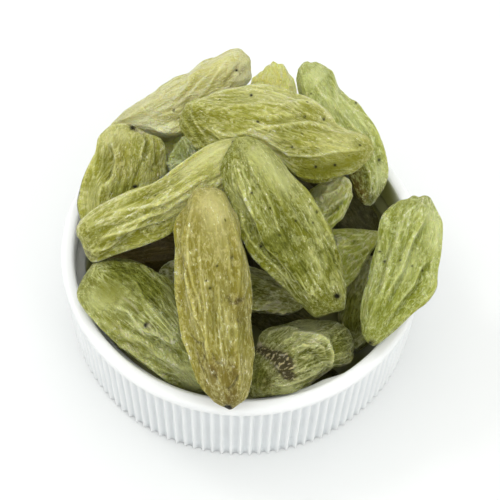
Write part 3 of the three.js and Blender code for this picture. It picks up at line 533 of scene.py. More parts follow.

# What the photograph shows on the skins, placed by its pixels and laid on the side that faces the
# camera: a kind, a half width in pixels, a strength and a line of points, or one point. Ridges and
# grooves are millimetres high or deep, with painted highlight on ridges and painted shade in grooves.
# hollow and dim marks are painted shade, glow marks painted light; warm, tan and stain are colours of the
# skin; scar marks are the palest, real stem scars and also painted glints; and a dot is near black.
marks = {
    "front": [
        ("ridge", 2.0, 0.2, [(207, 196), (211, 207), (218, 218), (225, 234), (228, 250), (229, 266),
            (231, 279)]),
        ("ridge", 2.0, 0.22, [(194, 203), (190, 220), (187, 240), (188, 262), (192, 282), (199, 300),
            (202, 322)]),
        ("ridge", 2.2, 0.25, [(236, 232), (241, 250), (245, 268), (246, 284), (243, 297), (246, 318),
            (249, 342)]),
        ("ridge", 1.8, 0.2, [(199, 270), (202, 291), (205, 310), (205, 330), (207, 352), (213, 374)]),
        ("ridge", 1.8, 0.16, [(180, 262), (187, 282), (193, 305), (197, 327), (200, 345)]),
        ("ridge", 1.8, 0.15, [(216, 286), (218, 306), (222, 326), (226, 346), (228, 366)]),
        ("ridge", 1.8, 0.15, [(233, 310), (236, 330), (236, 350), (234, 372)]),
        ("ridge", 1.6, 0.12, [(214, 196), (222, 203), (230, 212), (236, 224)]),
        ("groove", 2.2, 0.2, [(228, 236), (231, 250), (233, 262), (236, 280)]),
        ("groove", 2.4, 0.18, [(181, 240), (183, 262), (190, 284)]),
        ("groove", 2.2, 0.16, [(210, 268), (213, 290), (214, 312), (214, 334)]),
        ("groove", 3.2, 0.32, [(226, 296), (231, 303), (238, 303), (243, 297)]),
        ("ridge", 1.8, 0.2, [(231, 299), (235, 305), (240, 304), (244, 299)]),
        ("groove", 1.8, 0.16, [(190, 336), (196, 342), (202, 343), (205, 338)]),
        ("groove", 1.8, 0.14, [(200, 356), (208, 361), (217, 358)]),
        ("groove", 1.6, 0.12, [(229, 318), (236, 322), (243, 319)]),
        ("groove", 1.8, 0.14, [(222, 352), (231, 356), (241, 352)]),
        ("tan", 4.5, 0.5, [(212, 362), (216, 378)]), ("tan", 4.0, 0.45, [(232, 364), (235, 378)]),
        ("tan", 3.0, 0.5, [(202, 353), (206, 366)]), ("tan", 5.0, 0.3, [(238, 388), (230, 398)]),
        ("tan", 3.0, 0.6, [(228, 294), (236, 302), (243, 298)]), ("tan", 34.0, 0.4, [(206, 402), (240, 392)]),
        ("tan", 5.0, 0.5, [(248, 300), (250, 320), (253, 345)]), ("tan", 6.0, 0.4, [(236, 290), (240, 330)]),
        ("stain", 1.3, 0.6, [(228, 296), (232, 303), (238, 304), (243, 298)]),
        ("stain", 1.2, 0.6, [(190, 334), (196, 342), (203, 344), (206, 352), (202, 362)]),
        ("stain", 1.2, 0.55, [(212, 352), (216, 362), (224, 364)]),
        ("stain", 1.2, 0.5, [(236, 318), (242, 324)]),
        ("stain", 1.3, 0.6, [(240, 372), (234, 384), (226, 390)]),
        ("stain", 1.2, 0.5, [(214, 372), (220, 384)]),
        ("stain", 1.2, 0.55, [(196, 350), (200, 364), (206, 374)]),
        ("tan", 14.0, 0.3, [(206, 372), (240, 370)]), ("stain", 3.0, 1.0, [(225, 406), (231, 408)]),
        ("dot", 2.0, 0.9, [(224, 407), (232, 409)]), ("dot", 1.2, 0.9, [(232, 257)]),
        ("dot", 1.2, 0.9, [(217, 266)]), ("dot", 1.3, 0.9, [(210, 288)]), ("dot", 1.0, 0.7, [(206, 281)]),
        ("dot", 1.5, 1.0, [(227, 191)]), ("paintedGlow", 15.0, 1.0, [(200, 196), (212, 206), (224, 222)]),
        ("paintedGlow", 8.0, 0.3, [(216, 230), (222, 262)]),
        ("paintedShade", 12.0, 0.35, [(232, 276), (216, 316), (240, 345)]),
        ("paintedShade", 8.0, 0.3, [(242, 300), (244, 345)]), ("tan", 12.0, 0.5, [(226, 398), (234, 396)]),
    ],
    "left": [
        ("ridge", 2.4, 0.3, [(88, 214), (111, 200), (136, 191), (152, 184), (169, 173), (188, 157),
            (207, 146), (226, 140)]),
        ("ridge", 2.2, 0.26, [(104, 215), (131, 209), (157, 205), (170, 199), (183, 191), (195, 183),
            (206, 176)]),
        ("ridge", 2.2, 0.26, [(112, 229), (131, 223), (149, 215), (166, 210), (176, 202), (190, 194),
            (200, 188)]),
        ("ridge", 2.0, 0.24, [(92, 240), (111, 235), (131, 229), (149, 223), (166, 219), (180, 211)]),
        ("ridge", 2.0, 0.2, [(84, 228), (98, 222), (114, 217), (128, 211)]),
        ("ridge", 2.0, 0.16, [(206, 158), (216, 152), (228, 147)]),
        ("ridge", 2.2, 0.2, [(80, 234), (79, 226), (84, 217), (91, 211)]),
        ("groove", 2.6, 0.26, [(98, 231), (118, 224), (140, 215), (160, 205)]),
        ("groove", 2.6, 0.24, [(100, 246), (120, 240), (142, 230), (160, 224), (176, 216)]),
        ("groove", 2.4, 0.24, [(120, 205), (142, 198), (160, 190), (178, 180), (194, 168)]),
        ("groove", 2.2, 0.26, [(205, 184), (213, 180), (221, 176)]),
        ("groove", 2.0, 0.2, [(86, 246), (88, 238), (84, 230)]), ("stain", 3.0, 0.5, [(86, 250), (90, 258)]),
        ("dot", 1.5, 1.0, [(233, 141), (235, 147)]), ("dot", 1.2, 0.8, [(155, 195)]),
        ("paintedGlow", 12.0, 0.9, [(176, 176), (196, 162), (222, 148)]),
        ("paintedGlow", 10.0, 0.6, [(208, 158), (238, 144)]), ("paintedShade", 9.0, 0.5, [(94, 222), (100, 252)]),
        ("paintedGlow", 8.0, 0.7, [(160, 218), (190, 200), (216, 184)]),
    ],
    "centre": [
        ("ridge", 2.2, 0.24, [(258, 142), (264, 155), (272, 166), (277, 180), (286, 193), (292, 208),
            (300, 224)]),
        ("ridge", 2.0, 0.22, [(246, 150), (252, 168), (262, 186), (272, 206), (277, 226), (289, 247),
            (303, 270), (314, 292)]),
        ("ridge", 2.0, 0.22, [(283, 166), (296, 184), (309, 200), (320, 214), (328, 232), (336, 250)]),
        ("ridge", 2.0, 0.24, [(240, 205), (243, 226), (251, 241), (265, 256), (282, 273), (298, 290)]),
        ("ridge", 1.8, 0.2, [(318, 232), (330, 248), (338, 264), (342, 280)]),
        ("ridge", 1.8, 0.18, [(300, 232), (310, 250), (320, 268), (328, 284), (332, 300)]),
        ("ridge", 1.8, 0.16, [(236, 160), (240, 180), (246, 200), (256, 220)]),
        ("groove", 2.4, 0.22, [(254, 160), (262, 178), (272, 196), (282, 214), (290, 230)]),
        ("groove", 2.6, 0.24, [(280, 190), (292, 206), (306, 226), (316, 246), (324, 264)]),
        ("groove", 2.4, 0.24, [(252, 226), (264, 242), (282, 260), (298, 278)]),
        ("groove", 2.4, 0.2, [(282, 236), (294, 254), (308, 276), (318, 296)]),
        ("scarAndGlint", 2.0, 0.5, [(253, 148)]), ("dot", 1.2, 0.9, [(252, 193)]), ("dot", 1.2, 0.9, [(296, 221)]),
        ("dot", 1.2, 0.9, [(316, 212)]), ("dot", 1.4, 0.9, [(261, 246)]), ("dot", 1.0, 0.7, [(279, 235)]),
        ("dot", 1.0, 0.7, [(313, 223)]), ("dot", 1.0, 0.7, [(270, 208)]), ("dot", 2.4, 1.0, [(337, 296)]),
        ("stain", 3.6, 0.6, [(337, 296)]), ("dot", 1.2, 0.7, [(254, 262)]),
        ("paintedGlow", 12.0, 0.9, [(248, 146), (266, 166), (292, 190)]),
        ("paintedGlow", 9.0, 0.5, [(236, 178), (245, 216)]), ("paintedShade", 18.0, 1.1, [(270, 234), (284, 252)]),
        ("paintedShade", 12.0, 0.9, [(296, 262), (304, 276)]), ("paintedShade", 10.0, 0.4, [(308, 216), (314, 230)]),
        ("paintedShade", 9.0, 0.4, [(318, 298), (326, 304)]), ("paintedShade", 10.0, 0.9, [(326, 246), (334, 272)]),
        ("paintedGlow", 7.0, 0.3, [(306, 208), (318, 228)]),
    ],
    "top": [
        ("ridge", 2.4, 0.28, [(184, 110), (205, 97), (230, 90), (245, 87), (260, 85), (280, 87), (300, 94),
            (313, 102), (328, 116), (347, 132), (366, 139)]),
        ("ridge", 2.4, 0.3, [(192, 123), (212, 128), (222, 135), (234, 136), (248, 131), (262, 128),
            (289, 125), (309, 123), (325, 127), (337, 133), (352, 138)]),
        ("ridge", 2.2, 0.26, [(240, 134), (262, 137), (276, 147), (289, 155), (314, 156), (337, 151),
            (356, 151), (370, 146)]),
        ("ridge", 2.0, 0.2, [(276, 108), (284, 104), (292, 102), (302, 101), (312, 104), (320, 112)]),
        ("ridge", 1.8, 0.2, [(272, 118), (282, 113), (294, 116), (300, 112)]),
        ("ridge", 1.8, 0.16, [(212, 112), (232, 106), (250, 104), (268, 106)]),
        ("ridge", 2.2, 0.3, [(182, 117), (190, 128), (197, 138), (204, 147)]),
        ("groove", 3.0, 0.3, [(186, 106), (194, 120), (204, 132), (216, 140)]),
        ("groove", 2.6, 0.26, [(196, 112), (204, 122), (214, 130)]),
        ("groove", 2.4, 0.2, [(236, 120), (256, 118), (280, 120), (300, 116), (320, 121)]),
        ("groove", 2.4, 0.2, [(296, 138), (316, 140), (336, 143), (352, 145)]),
        ("hollow", 6.0, 0.8, [(184, 108), (188, 122), (197, 136)]),
        ("hollow", 1.8, 1.0, [(181, 118), (187, 130), (193, 141), (198, 149)]),
        ("hollow", 1.8, 1.0, [(191, 106), (187, 116), (192, 129), (201, 141), (210, 149)]),
        ("groove", 1.8, 0.3, [(191, 106), (187, 116), (192, 129), (201, 141), (210, 149)]),
        ("ridge", 1.5, 0.25, [(204, 127), (213, 132), (221, 140), (231, 143), (246, 143)]),
        ("ridge", 1.4, 0.2, [(186, 106), (192, 117), (198, 127), (206, 137), (215, 146)]),
        ("hollow", 1.8, 0.9, [(210, 131), (219, 139), (228, 146)]),
        ("warm", 9.0, 1.0, [(292, 169), (312, 171), (330, 168), (350, 162), (362, 154)]),
        ("dot", 1.4, 0.9, [(251, 94)]), ("dot", 1.6, 0.9, [(258, 121)]), ("dot", 1.2, 0.9, [(292, 147)]),
        ("dot", 1.3, 0.9, [(324, 119)]), ("dot", 1.4, 0.9, [(316, 167)]), ("dot", 1.5, 0.8, [(335, 165)]),
        ("dot", 1.0, 0.7, [(360, 145)]), ("dot", 1.1, 0.7, [(305, 116)]), ("scarAndGlint", 1.8, 0.6, [(291, 102)]),
        ("paintedGlow", 10.0, 0.6, [(356, 141), (334, 146), (318, 143)]),
        ("paintedGlow", 8.0, 0.5, [(328, 114), (336, 126)]), ("paintedGlow", 8.0, 0.5, [(244, 94), (270, 92), (292, 98)]),
        ("paintedGlow", 8.0, 1.0, [(252, 143), (276, 150)]),
        ("ridge", 1.6, 0.2, [(250, 146), (266, 149), (280, 158), (290, 168)]),
        ("paintedShade", 11.0, 0.6, [(278, 136), (300, 134)]), ("paintedShade", 8.0, 0.7, [(184, 116), (194, 134), (206, 146)]),
        ("paintedShade", 9.0, 0.6, [(296, 172), (316, 174), (336, 172)]),
    ],
    "back_left": [
        ("ridge", 2.2, 0.26, [(191, 73), (188, 85), (179, 95), (170, 106), (154, 114), (142, 123)]),
        ("ridge", 2.0, 0.22, [(211, 73), (200, 82), (192, 91), (186, 98), (176, 106)]),
        ("ridge", 2.0, 0.2, [(232, 56), (222, 66), (214, 78), (206, 90), (196, 100)]),
        ("ridge", 1.8, 0.2, [(160, 116), (172, 113), (182, 108)]),
        ("groove", 2.6, 0.28, [(245, 56), (240, 64), (230, 76), (222, 87)]),
        ("groove", 2.4, 0.24, [(200, 74), (190, 88), (178, 100), (162, 108)]),
        ("groove", 3.0, 0.24, [(154, 127), (168, 122), (182, 119)]),
        ("groove", 2.0, 0.18, [(150, 100), (166, 92), (182, 80)]), ("tan", 6.0, 0.3, [(234, 82), (244, 66)]),
        ("tan", 1.4, 0.35, [(222, 86), (230, 76), (240, 62)]),
        ("tan", 1.4, 0.3, [(228, 90), (236, 80), (246, 66)]),
        ("tan", 1.3, 0.3, [(168, 110), (182, 104), (194, 92)]), ("dot", 1.4, 0.8, [(237, 70)]),
        ("paintedGlow", 12.0, 1.0, [(122, 122), (162, 132)]), ("paintedGlow", 8.0, 1.0, [(156, 134), (172, 130)]),
        ("paintedGlow", 10.0, 0.9, [(236, 60), (244, 78)]), ("paintedGlow", 8.0, 0.9, [(238, 84), (246, 76)]),
        ("paintedGlow", 9.0, 0.7, [(140, 112), (160, 104), (184, 94)]),
    ],
    "left_rim": [
        ("ridge", 2.4, 0.3, [(112, 137), (114, 150), (115, 162), (113, 175), (108, 183), (102, 188)]),
        ("groove", 3.4, 0.5, [(111, 151), (112, 162), (110, 174), (106, 181)]),
        ("hollow", 5.5, 1.0, [(106, 152), (107, 176)]), ("paintedShade", 5.0, 0.5, [(106, 154), (105, 176)]),
        ("warm", 6.0, 0.5, [(103, 156), (105, 178)]), ("tan", 9.0, 0.35, [(116, 140), (124, 180)]),
        ("hollow", 5.0, 0.8, [(104, 148), (104, 180)]),
        ("ridge", 2.0, 0.28, [(139, 134), (144, 142), (140, 155), (143, 163), (140, 172)]),
        ("ridge", 2.0, 0.24, [(128, 160), (131, 170), (131, 179)]),
        ("ridge", 1.8, 0.22, [(147, 136), (153, 144), (154, 156), (156, 168)]),
        ("ridge", 1.8, 0.22, [(162, 146), (166, 154), (167, 166)]),
        ("groove", 2.4, 0.3, [(148, 137), (147, 152), (140, 168), (134, 179)]),
        ("groove", 2.0, 0.22, [(155, 144), (156, 162), (152, 174)]),
        ("groove", 2.2, 0.2, [(124, 135), (124, 150), (122, 168), (120, 186)]),
        ("groove", 3.0, 0.45, [(130, 126), (138, 129), (144, 131)]),
        ("stain", 3.2, 0.9, [(130, 125), (138, 128)]), ("scarAndGlint", 2.6, 0.9, [(139, 129), (144, 132)]),
        ("dot", 1.8, 0.8, [(131, 127), (136, 125)]), ("dot", 1.5, 0.8, [(133, 187), (137, 186)]),
        ("ridge", 2.0, 0.2, [(100, 140), (112, 126), (130, 124)]),
        ("paintedGlow", 9.0, 0.8, [(104, 146), (112, 134), (130, 134)]),
        ("paintedShade", 12.0, 0.8, [(114, 196), (138, 186)]), ("paintedGlow", 7.0, 0.4, [(82, 206), (90, 186)]),
        ("paintedShade", 7.0, 0.4, [(92, 184), (90, 200)]), ("paintedShade", 10.0, 0.45, [(114, 190), (132, 192)]),
    ],
    "back_right": [
        ("ridge", 2.2, 0.26, [(314, 80), (320, 94), (333, 103), (349, 123), (363, 136), (372, 152),
            (376, 170)]),
        ("ridge", 2.0, 0.22, [(300, 88), (314, 106), (331, 124), (342, 138)]),
        ("ridge", 2.0, 0.24, [(335, 80), (337, 94), (348, 106), (360, 120), (370, 136), (378, 156)]),
        ("ridge", 2.0, 0.26, [(373, 163), (376, 176), (376, 188), (373, 196)]),
        ("ridge", 2.2, 0.34, [(365, 195), (365, 203), (373, 206), (379, 198), (375, 195)]),
        ("groove", 2.8, 0.3, [(329, 72), (331, 86), (336, 100)]),
        ("groove", 2.6, 0.3, [(360, 160), (366, 176), (366, 190)]),
        ("groove", 2.6, 0.3, [(370, 200), (373, 202)]),
        ("groove", 2.4, 0.22, [(322, 78), (328, 98), (340, 114), (352, 130), (362, 148)]),
        ("hollow", 6.0, 0.7, [(356, 170), (360, 186)]),
        ("tan", 10.0, 1.2, [(352, 166), (356, 192), (364, 204)]),
        ("ridge", 1.4, 0.3, [(368, 168), (371, 184), (370, 196)]),
        ("ridge", 1.4, 0.3, [(363, 192), (362, 201), (368, 206), (375, 202), (374, 196)]),
        ("dot", 1.4, 0.8, [(379, 160)]), ("dot", 1.3, 0.8, [(384, 191)]), ("dot", 1.2, 0.8, [(356, 103)]),
        ("paintedGlow", 13.0, 1.0, [(310, 70), (320, 82)]), ("paintedGlow", 10.0, 0.6, [(320, 95), (346, 110), (366, 130)]),
        ("paintedGlow", 6.0, 0.9, [(382, 164), (382, 182)]), ("paintedShade", 9.0, 0.8, [(356, 170), (358, 190)]),
    ],
    "back": [
        ("ridge", 2.0, 0.16, [(268, 70), (262, 80)]), ("ridge", 2.0, 0.16, [(280, 70), (284, 82)]),
    ],
    "right_rim": [
        ("groove", 2.4, 0.36, [(432, 214), (423, 229), (415, 243), (410, 257), (405, 272), (396, 288),
            (388, 305)]),
        ("ridge", 2.0, 0.26, [(428, 213), (419, 228), (411, 242), (406, 257), (401, 271), (391, 287),
            (383, 303)]),
        ("groove", 2.4, 0.34, [(435, 259), (424, 270), (418, 286), (406, 300), (397, 313), (386, 326)]),
        ("ridge", 1.8, 0.22, [(431, 257), (420, 268), (414, 284), (402, 298), (393, 311)]),
        ("ridge", 2.0, 0.22, [(397, 222), (398, 238), (393, 254), (388, 268), (384, 286), (378, 306)]),
        ("ridge", 1.8, 0.18, [(386, 228), (380, 246), (376, 262), (372, 284), (368, 306)]),
        ("ridge", 1.8, 0.16, [(408, 204), (404, 218), (402, 232)]),
        ("groove", 2.2, 0.18, [(392, 232), (388, 250), (382, 272), (376, 294)]),
        ("groove", 2.0, 0.16, [(404, 244), (398, 262), (390, 278)]),
        ("ridge", 1.8, 0.16, [(437, 222), (436, 244), (432, 262), (430, 284), (420, 300)]),
        ("dot", 1.2, 0.8, [(400, 260)]), ("dot", 1.2, 0.8, [(384, 261)]), ("dot", 1.1, 0.8, [(380, 252)]),
        ("dot", 1.2, 0.8, [(423, 270)]), ("dot", 1.0, 0.7, [(412, 266)]),
        ("stain", 4.0, 0.7, [(369, 342), (375, 344)]), ("dot", 1.8, 0.7, [(370, 343)]),
        ("paintedGlow", 9.0, 0.9, [(430, 208), (437, 232), (434, 252)]),
        ("paintedGlow", 8.0, 0.7, [(414, 248), (402, 280)]), ("paintedShade", 9.0, 0.6, [(372, 302), (378, 318)]),
        ("paintedShade", 40.0, 0.15, [(408, 220), (392, 320)]),
    ],
    "front_left": [
        ("ridge", 2.2, 0.5, [(113, 299), (116, 307), (128, 311), (137, 322), (148, 331), (159, 335),
            (167, 340), (181, 346)]),
        ("groove", 3.0, 0.45, [(130, 328), (142, 337), (156, 342), (170, 350), (183, 358)]),
        ("ridge", 2.0, 0.42, [(94, 317), (108, 324), (119, 333), (130, 339), (142, 340), (153, 349),
            (160, 356), (170, 360), (181, 368), (191, 371)]),
        ("groove", 2.8, 0.3, [(106, 330), (118, 340), (132, 346), (144, 349), (152, 358), (164, 366)]),
        ("ridge", 2.0, 0.4, [(116, 346), (126, 347), (137, 355), (144, 361), (153, 368), (162, 375),
            (173, 385)]),
        ("ridge", 1.8, 0.2, [(122, 331), (128, 336), (134, 339)]),
        ("ridge", 2.0, 0.24, [(116, 271), (128, 276), (136, 284), (141, 294), (144, 304)]),
        ("groove", 2.6, 0.22, [(150, 296), (160, 308), (172, 320)]),
        ("ridge", 1.6, 0.14, [(150, 276), (158, 290), (168, 302)]),
        ("ridge", 1.6, 0.14, [(144, 300), (156, 316), (170, 330)]),
        ("warm", 13.0, 0.8, [(98, 286), (122, 300)]),
        ("warm", 8.0, 0.5, [(100, 318), (132, 344), (150, 352)]), ("dot", 2.0, 1.0, [(146, 325)]),
        ("scarAndGlint", 2.0, 0.8, [(149, 326)]), ("scarAndGlint", 1.2, 0.7, [(164, 374)]),
        ("paintedShade", 12.0, 0.5, [(150, 285), (168, 300)]),
        ("paintedShade", 13.0, 1.2, [(106, 270), (138, 275), (156, 298)]),
        ("paintedGlow", 8.0, 0.5, [(164, 330), (170, 336)]),
        ("paintedGlow", 11.0, 0.9, [(88, 296), (104, 300), (124, 299)]),
        ("paintedGlow", 8.0, 0.6, [(146, 350), (156, 358)]),
        ("paintedGlow", 9.0, 1.3, [(178, 368), (190, 380), (200, 388)]),
        ("scarAndGlint", 1.0, 0.45, [(122, 297), (131, 303), (138, 312)]),
        ("scarAndGlint", 0.9, 0.45, [(112, 322), (122, 330), (130, 336)]),
        ("scarAndGlint", 0.9, 0.4, [(124, 343), (134, 350), (142, 354)]),
        ("scarAndGlint", 0.9, 0.4, [(150, 330), (160, 334), (166, 339)]),
    ],
    "under_top": [
        ("ridge", 2.4, 0.3, [(316, 190), (328, 187), (338, 179), (348, 180), (352, 188), (352, 196)]),
        ("groove", 3.4, 0.6, [(326, 214), (336, 207), (346, 201)]),
        ("groove", 2.0, 0.35, [(318, 204), (330, 198), (342, 190)]),
        ("ridge", 1.6, 0.3, [(322, 196), (334, 192), (344, 184)]),
        ("ridge", 1.6, 0.3, [(318, 222), (328, 218), (338, 210)]),
        ("hollow", 5.0, 0.9, [(330, 212), (342, 205)]),
        ("ridge", 2.0, 0.3, [(322, 214), (332, 205), (344, 197), (351, 194)]),
        ("ridge", 2.0, 0.24, [(330, 226), (340, 216), (348, 207)]),
        ("ridge", 1.8, 0.2, [(314, 200), (324, 196), (336, 190)]),
        ("paintedGlow", 11.0, 1.0, [(316, 202), (326, 194), (342, 188)]),
    ],
    "right": [
        ("ridge", 1.4, 0.24, [(336, 233), (350, 235), (368, 236)]),
        ("ridge", 1.4, 0.24, [(336, 241), (352, 243)]),
        ("ridge", 1.4, 0.22, [(343, 258), (356, 253), (372, 245)]),
        ("ridge", 1.4, 0.22, [(346, 270), (360, 259)]),
        ("ridge", 1.8, 0.2, [(334, 237), (348, 240), (366, 240)]),
        ("ridge", 1.6, 0.2, [(338, 246), (352, 246), (368, 243)]),
        ("ridge", 1.6, 0.2, [(341, 252), (354, 256), (370, 247)]),
        ("ridge", 1.6, 0.2, [(345, 264), (356, 262), (372, 250)]),
        ("ridge", 1.8, 0.22, [(349, 278), (358, 266), (374, 252)]),
        ("groove", 2.0, 0.2, [(340, 242), (356, 243)]),
        ("groove", 2.0, 0.22, [(342, 258), (358, 258), (370, 250)]),
        ("groove", 2.0, 0.22, [(350, 271), (364, 260)]),
    ],
    "front_right": [
        ("ridge", 2.6, 0.4, [(286, 340), (296, 334), (311, 334), (326, 340), (332, 354), (329, 369),
            (318, 381), (304, 390), (284, 396)]),
        ("groove", 4.0, 0.5, [(296, 361), (303, 352), (314, 351), (321, 359)]),
        ("hollow", 6.0, 0.7, [(300, 360), (316, 358)]),
        ("ridge", 2.2, 0.3, [(266, 342), (270, 333), (284, 329), (298, 328), (312, 326)]),
        ("ridge", 2.0, 0.3, [(271, 383), (282, 385), (296, 383), (311, 375), (322, 366)]),
        ("groove", 2.0, 0.25, [(330, 330), (335, 342), (334, 358)]),
        ("ridge", 1.8, 0.22, [(300, 342), (306, 346), (318, 346), (326, 350)]),
        ("ridge", 1.6, 0.2, [(292, 368), (300, 372), (312, 368)]),
        ("stain", 4.8, 1.5, [(255, 348), (264, 351), (272, 355), (281, 357), (288, 361)]),
        ("stain", 8.5, 1.7, [(278, 358), (285, 365), (288, 372)]),
        ("stain", 3.6, 1.4, [(284, 375), (294, 377)]),
        ("groove", 2.4, 0.3, [(262, 356), (270, 361), (278, 371), (285, 378)]),
        ("ridge", 1.6, 0.16, [(262, 347), (273, 352), (284, 354), (290, 362), (296, 374)]),
        ("scarAndGlint", 1.8, 0.9, [(257, 345), (262, 344)]), ("scarAndGlint", 1.5, 0.9, [(277, 367)]),
        ("scarAndGlint", 1.0, 0.8, [(284, 373)]), ("scarAndGlint", 0.9, 0.7, [(271, 363)]), ("scarAndGlint", 0.9, 0.7, [(266, 358)]),
        ("scarAndGlint", 0.8, 0.6, [(279, 355), (285, 355)]), ("stain", 12.0, 0.3, [(262, 376), (270, 390)]),
        ("paintedShade", 9.0, 0.8, [(338, 334), (344, 348)]), ("paintedShade", 8.0, 0.7, [(258, 368), (262, 386)]),
        ("paintedShade", 10.0, 0.5, [(272, 336), (280, 340)]), ("paintedShade", 8.0, 0.4, [(308, 366), (320, 362)]),
        ("ridge", 1.4, 0.14, [(300, 338), (312, 340), (322, 347), (327, 358)]),
        ("ridge", 1.4, 0.14, [(290, 350), (300, 346), (311, 345), (320, 352)]),
        ("ridge", 1.4, 0.12, [(280, 390), (296, 388), (310, 381), (321, 371)]),
        ("ridge", 1.4, 0.12, [(292, 380), (304, 377), (314, 369)]),
        ("paintedShade", 11.0, 1.0, [(256, 374), (262, 386)]), ("paintedGlow", 9.0, 0.9, [(300, 328), (318, 328)]),
        ("paintedGlow", 7.0, 0.8, [(280, 391), (294, 389)]),
        ("scarAndGlint", 0.9, 0.45, [(300, 334), (310, 332), (320, 336)]),
        ("scarAndGlint", 0.8, 0.45, [(306, 342), (314, 340), (322, 343)]),
        ("scarAndGlint", 0.9, 0.5, [(308, 384), (316, 379), (324, 373)]),
        ("scarAndGlint", 0.8, 0.45, [(292, 348), (296, 341), (301, 338)]),
    ],
    "middle": [
        ("ridge", 1.8, 0.24, [(255, 313), (267, 303), (280, 300)]),
        ("ridge", 1.8, 0.24, [(259, 317), (272, 314), (284, 304)]),
        ("ridge", 1.8, 0.24, [(255, 325), (272, 323), (284, 321), (296, 317)]),
        ("scarAndGlint", 1.2, 0.6, [(276, 303), (280, 301)]), ("scarAndGlint", 1.0, 0.5, [(266, 313), (270, 314)]),
        ("ridge", 1.4, 0.24, [(258, 310), (268, 309), (276, 306), (284, 300)]),
        ("ridge", 1.4, 0.24, [(257, 320), (268, 319), (278, 315), (288, 309)]),
        ("ridge", 1.4, 0.2, [(264, 300), (270, 297), (276, 295)]),
        ("ridge", 1.4, 0.2, [(262, 327), (274, 326), (286, 324), (300, 320)]),
        ("paintedShade", 8.0, 1.0, [(250, 284), (262, 298)]), ("scarAndGlint", 0.9, 0.7, [(262, 308), (270, 305), (278, 300)]),
        ("scarAndGlint", 0.9, 0.65, [(264, 316), (273, 314), (280, 309)]),
        ("scarAndGlint", 0.9, 0.6, [(257, 325), (268, 325), (279, 323)]),
        ("scarAndGlint", 0.8, 0.6, [(273, 306), (279, 308)]),
    ],
    "right_low": [
        ("paintedShade", 12.0, 1.2, [(350, 290), (352, 312), (354, 334)]),
    ],
}


def draw(seed, index):
    # a seeded number from 0 to 1
    value = np.sin(seed * 127.1 + index * 311.7) * 43758.5453
    return value - np.floor(value)


def wanderAt(raisin, s, t):
    # how far, in radians, the line t of a raisin has wandered at s along it: three sines and a twist
    seed = raisin["seed"]
    phase = [2 * math.pi * draw(seed, index) for index in range(4)]
    return (0.3 * np.sin(t + phase[0] + 1.3 * s) + 0.14 * np.sin(2 * t + phase[1] - 2.1 * s)
            + 0.06 * np.sin(3 * t + phase[2] + 4 * s) + phase[3] + 0.35 * (draw(seed, 4) - 0.5) * s)


def skinPoints(raisin, s, t, blunt, fill):
    # The raisin's own surface, its length along X. At s along (-1 to 1) and t round it, the skin is out
    # by a taper to both ends times a hollow panel between each two of the sharp ridges, less a smooth dent
    # or two, and is bent to an arch. fill is how far the panels fill out at the tips.
    seed, folds, look = raisin["seed"], raisin["folds"], raisinLook
    length, width, thickness = raisin["size"]
    theta = t + wanderAt(raisin, s, t)
    ends = np.where(s < 0, blunt[0], blunt[1])
    taper = np.maximum(0, 1 - np.abs(s) ** ends) ** look["taper"] * (1 + raisin["egg"] * s)
    panel = np.abs(np.sin(folds / 2 * t)) ** look["foldSharp"]
    least, more = look["uneven"]
    uneven = least + more * draw(seed, 10 + np.floor(folds * t / (2 * math.pi) + 1e-9))
    out = 1 - look["foldDepth"] * panel * uneven * (1 - fill * s ** 4)
    out = out * (1 + look["ripple"] * np.sin(5 * s + 2 * math.pi * draw(seed, 5) + theta))
    for where, degrees, depth in raisin["dents"]:
        aside = 1 - np.cos(theta - math.radians(degrees))
        off = ((s - where) / look["dentLength"]) ** 2 + look["dentRound"] * aside
        out = out * (1 - depth * np.exp(-off))
    y = width / 2 * taper * out * np.cos(theta) - raisin["sway"] * (s * s - 0.4)
    z = thickness / 2 * taper * out * np.sin(theta)
    bend = math.radians(raisin["arch"]) / 2 + 1e-6
    radius = length / 2 / bend
    x, z = (radius + z) * np.sin(bend * s), (radius + z) * np.cos(bend * s) - radius
    return np.stack([x, y, z], axis=-1)


def skinTips(raisin, shaped):
    return [skinPoints(raisin, np.array(end), np.array(0.0), *shaped) for end in (-1.0, 1.0)]


def turned(raisin, points):
    heading, pitch, roll = np.radians(raisin["turn"])
    spin = Matrix.Rotation(heading, 3, "Z") @ Matrix.Rotation(-pitch, 3, "Y") @ Matrix.Rotation(roll, 3, "X")
    return points @ np.array(spin).T


def skinGrid(raisin, along, around, shaped, crowding=0.0, towards=0.0):
    # rows closer together near the tips; crowding draws the lines t together about the line towards
    s = -np.cos(math.pi * np.arange(1, along) / along)[:, None]
    t = (2 * math.pi * np.arange(around) / around)[None, :]
    t = (t - crowding * np.sin(t - towards)) % (2 * math.pi)
    return s, t, skinPoints(raisin, s, t, *shaped)


def placeOf(raisin, nodeName):
    # the solid raisin's shift: its box's middle less that of the same coarse shape about the origin
    rows, perFold = (9, 3) if raisin["hidden"] else (13, 4)
    shaped = (raisin["blunt"], raisinLook["plainTipFill"])
    coarse = skinGrid(raisin, rows, raisin["folds"] * perFold, shaped)[2].reshape(-1, 3)
    shape = turned(raisin, np.concatenate([coarse, skinTips(raisin, shaped)]))
    low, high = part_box(nodeName)
    middle = (np.array(low) + np.array(high)) / 2 / mm
    return middle - (shape.min(axis=0) + shape.max(axis=0)) / 2


def distanceTo(u, v, line):
    # distance in pixels to a line drawn through points, and how far along it the nearest point is, 0 to 1
    nearest = np.full(u.shape, 1e9)
    along = np.zeros(u.shape)
    steps = [math.hypot(b[0] - a[0], b[1] - a[1]) for a, b in zip(line, line[1:])]
    if not steps:
        return np.hypot(u - line[0][0], v - line[0][1]), along + 0.5
    passed = 0.0
    for a, b, step in zip(line, line[1:], steps):
        part = np.clip(((u - a[0]) * (b[0] - a[0]) + (v - a[1]) * (b[1] - a[1])) / step ** 2, 0, 1)
        away = np.hypot(u - a[0] - part * (b[0] - a[0]), v - a[1] - part * (b[1] - a[1]))
        closer = away < nearest
        nearest = np.where(closer, away, nearest)
        along = np.where(closer, (passed + part * step) / sum(steps), along)
        passed += step
    return nearest, along


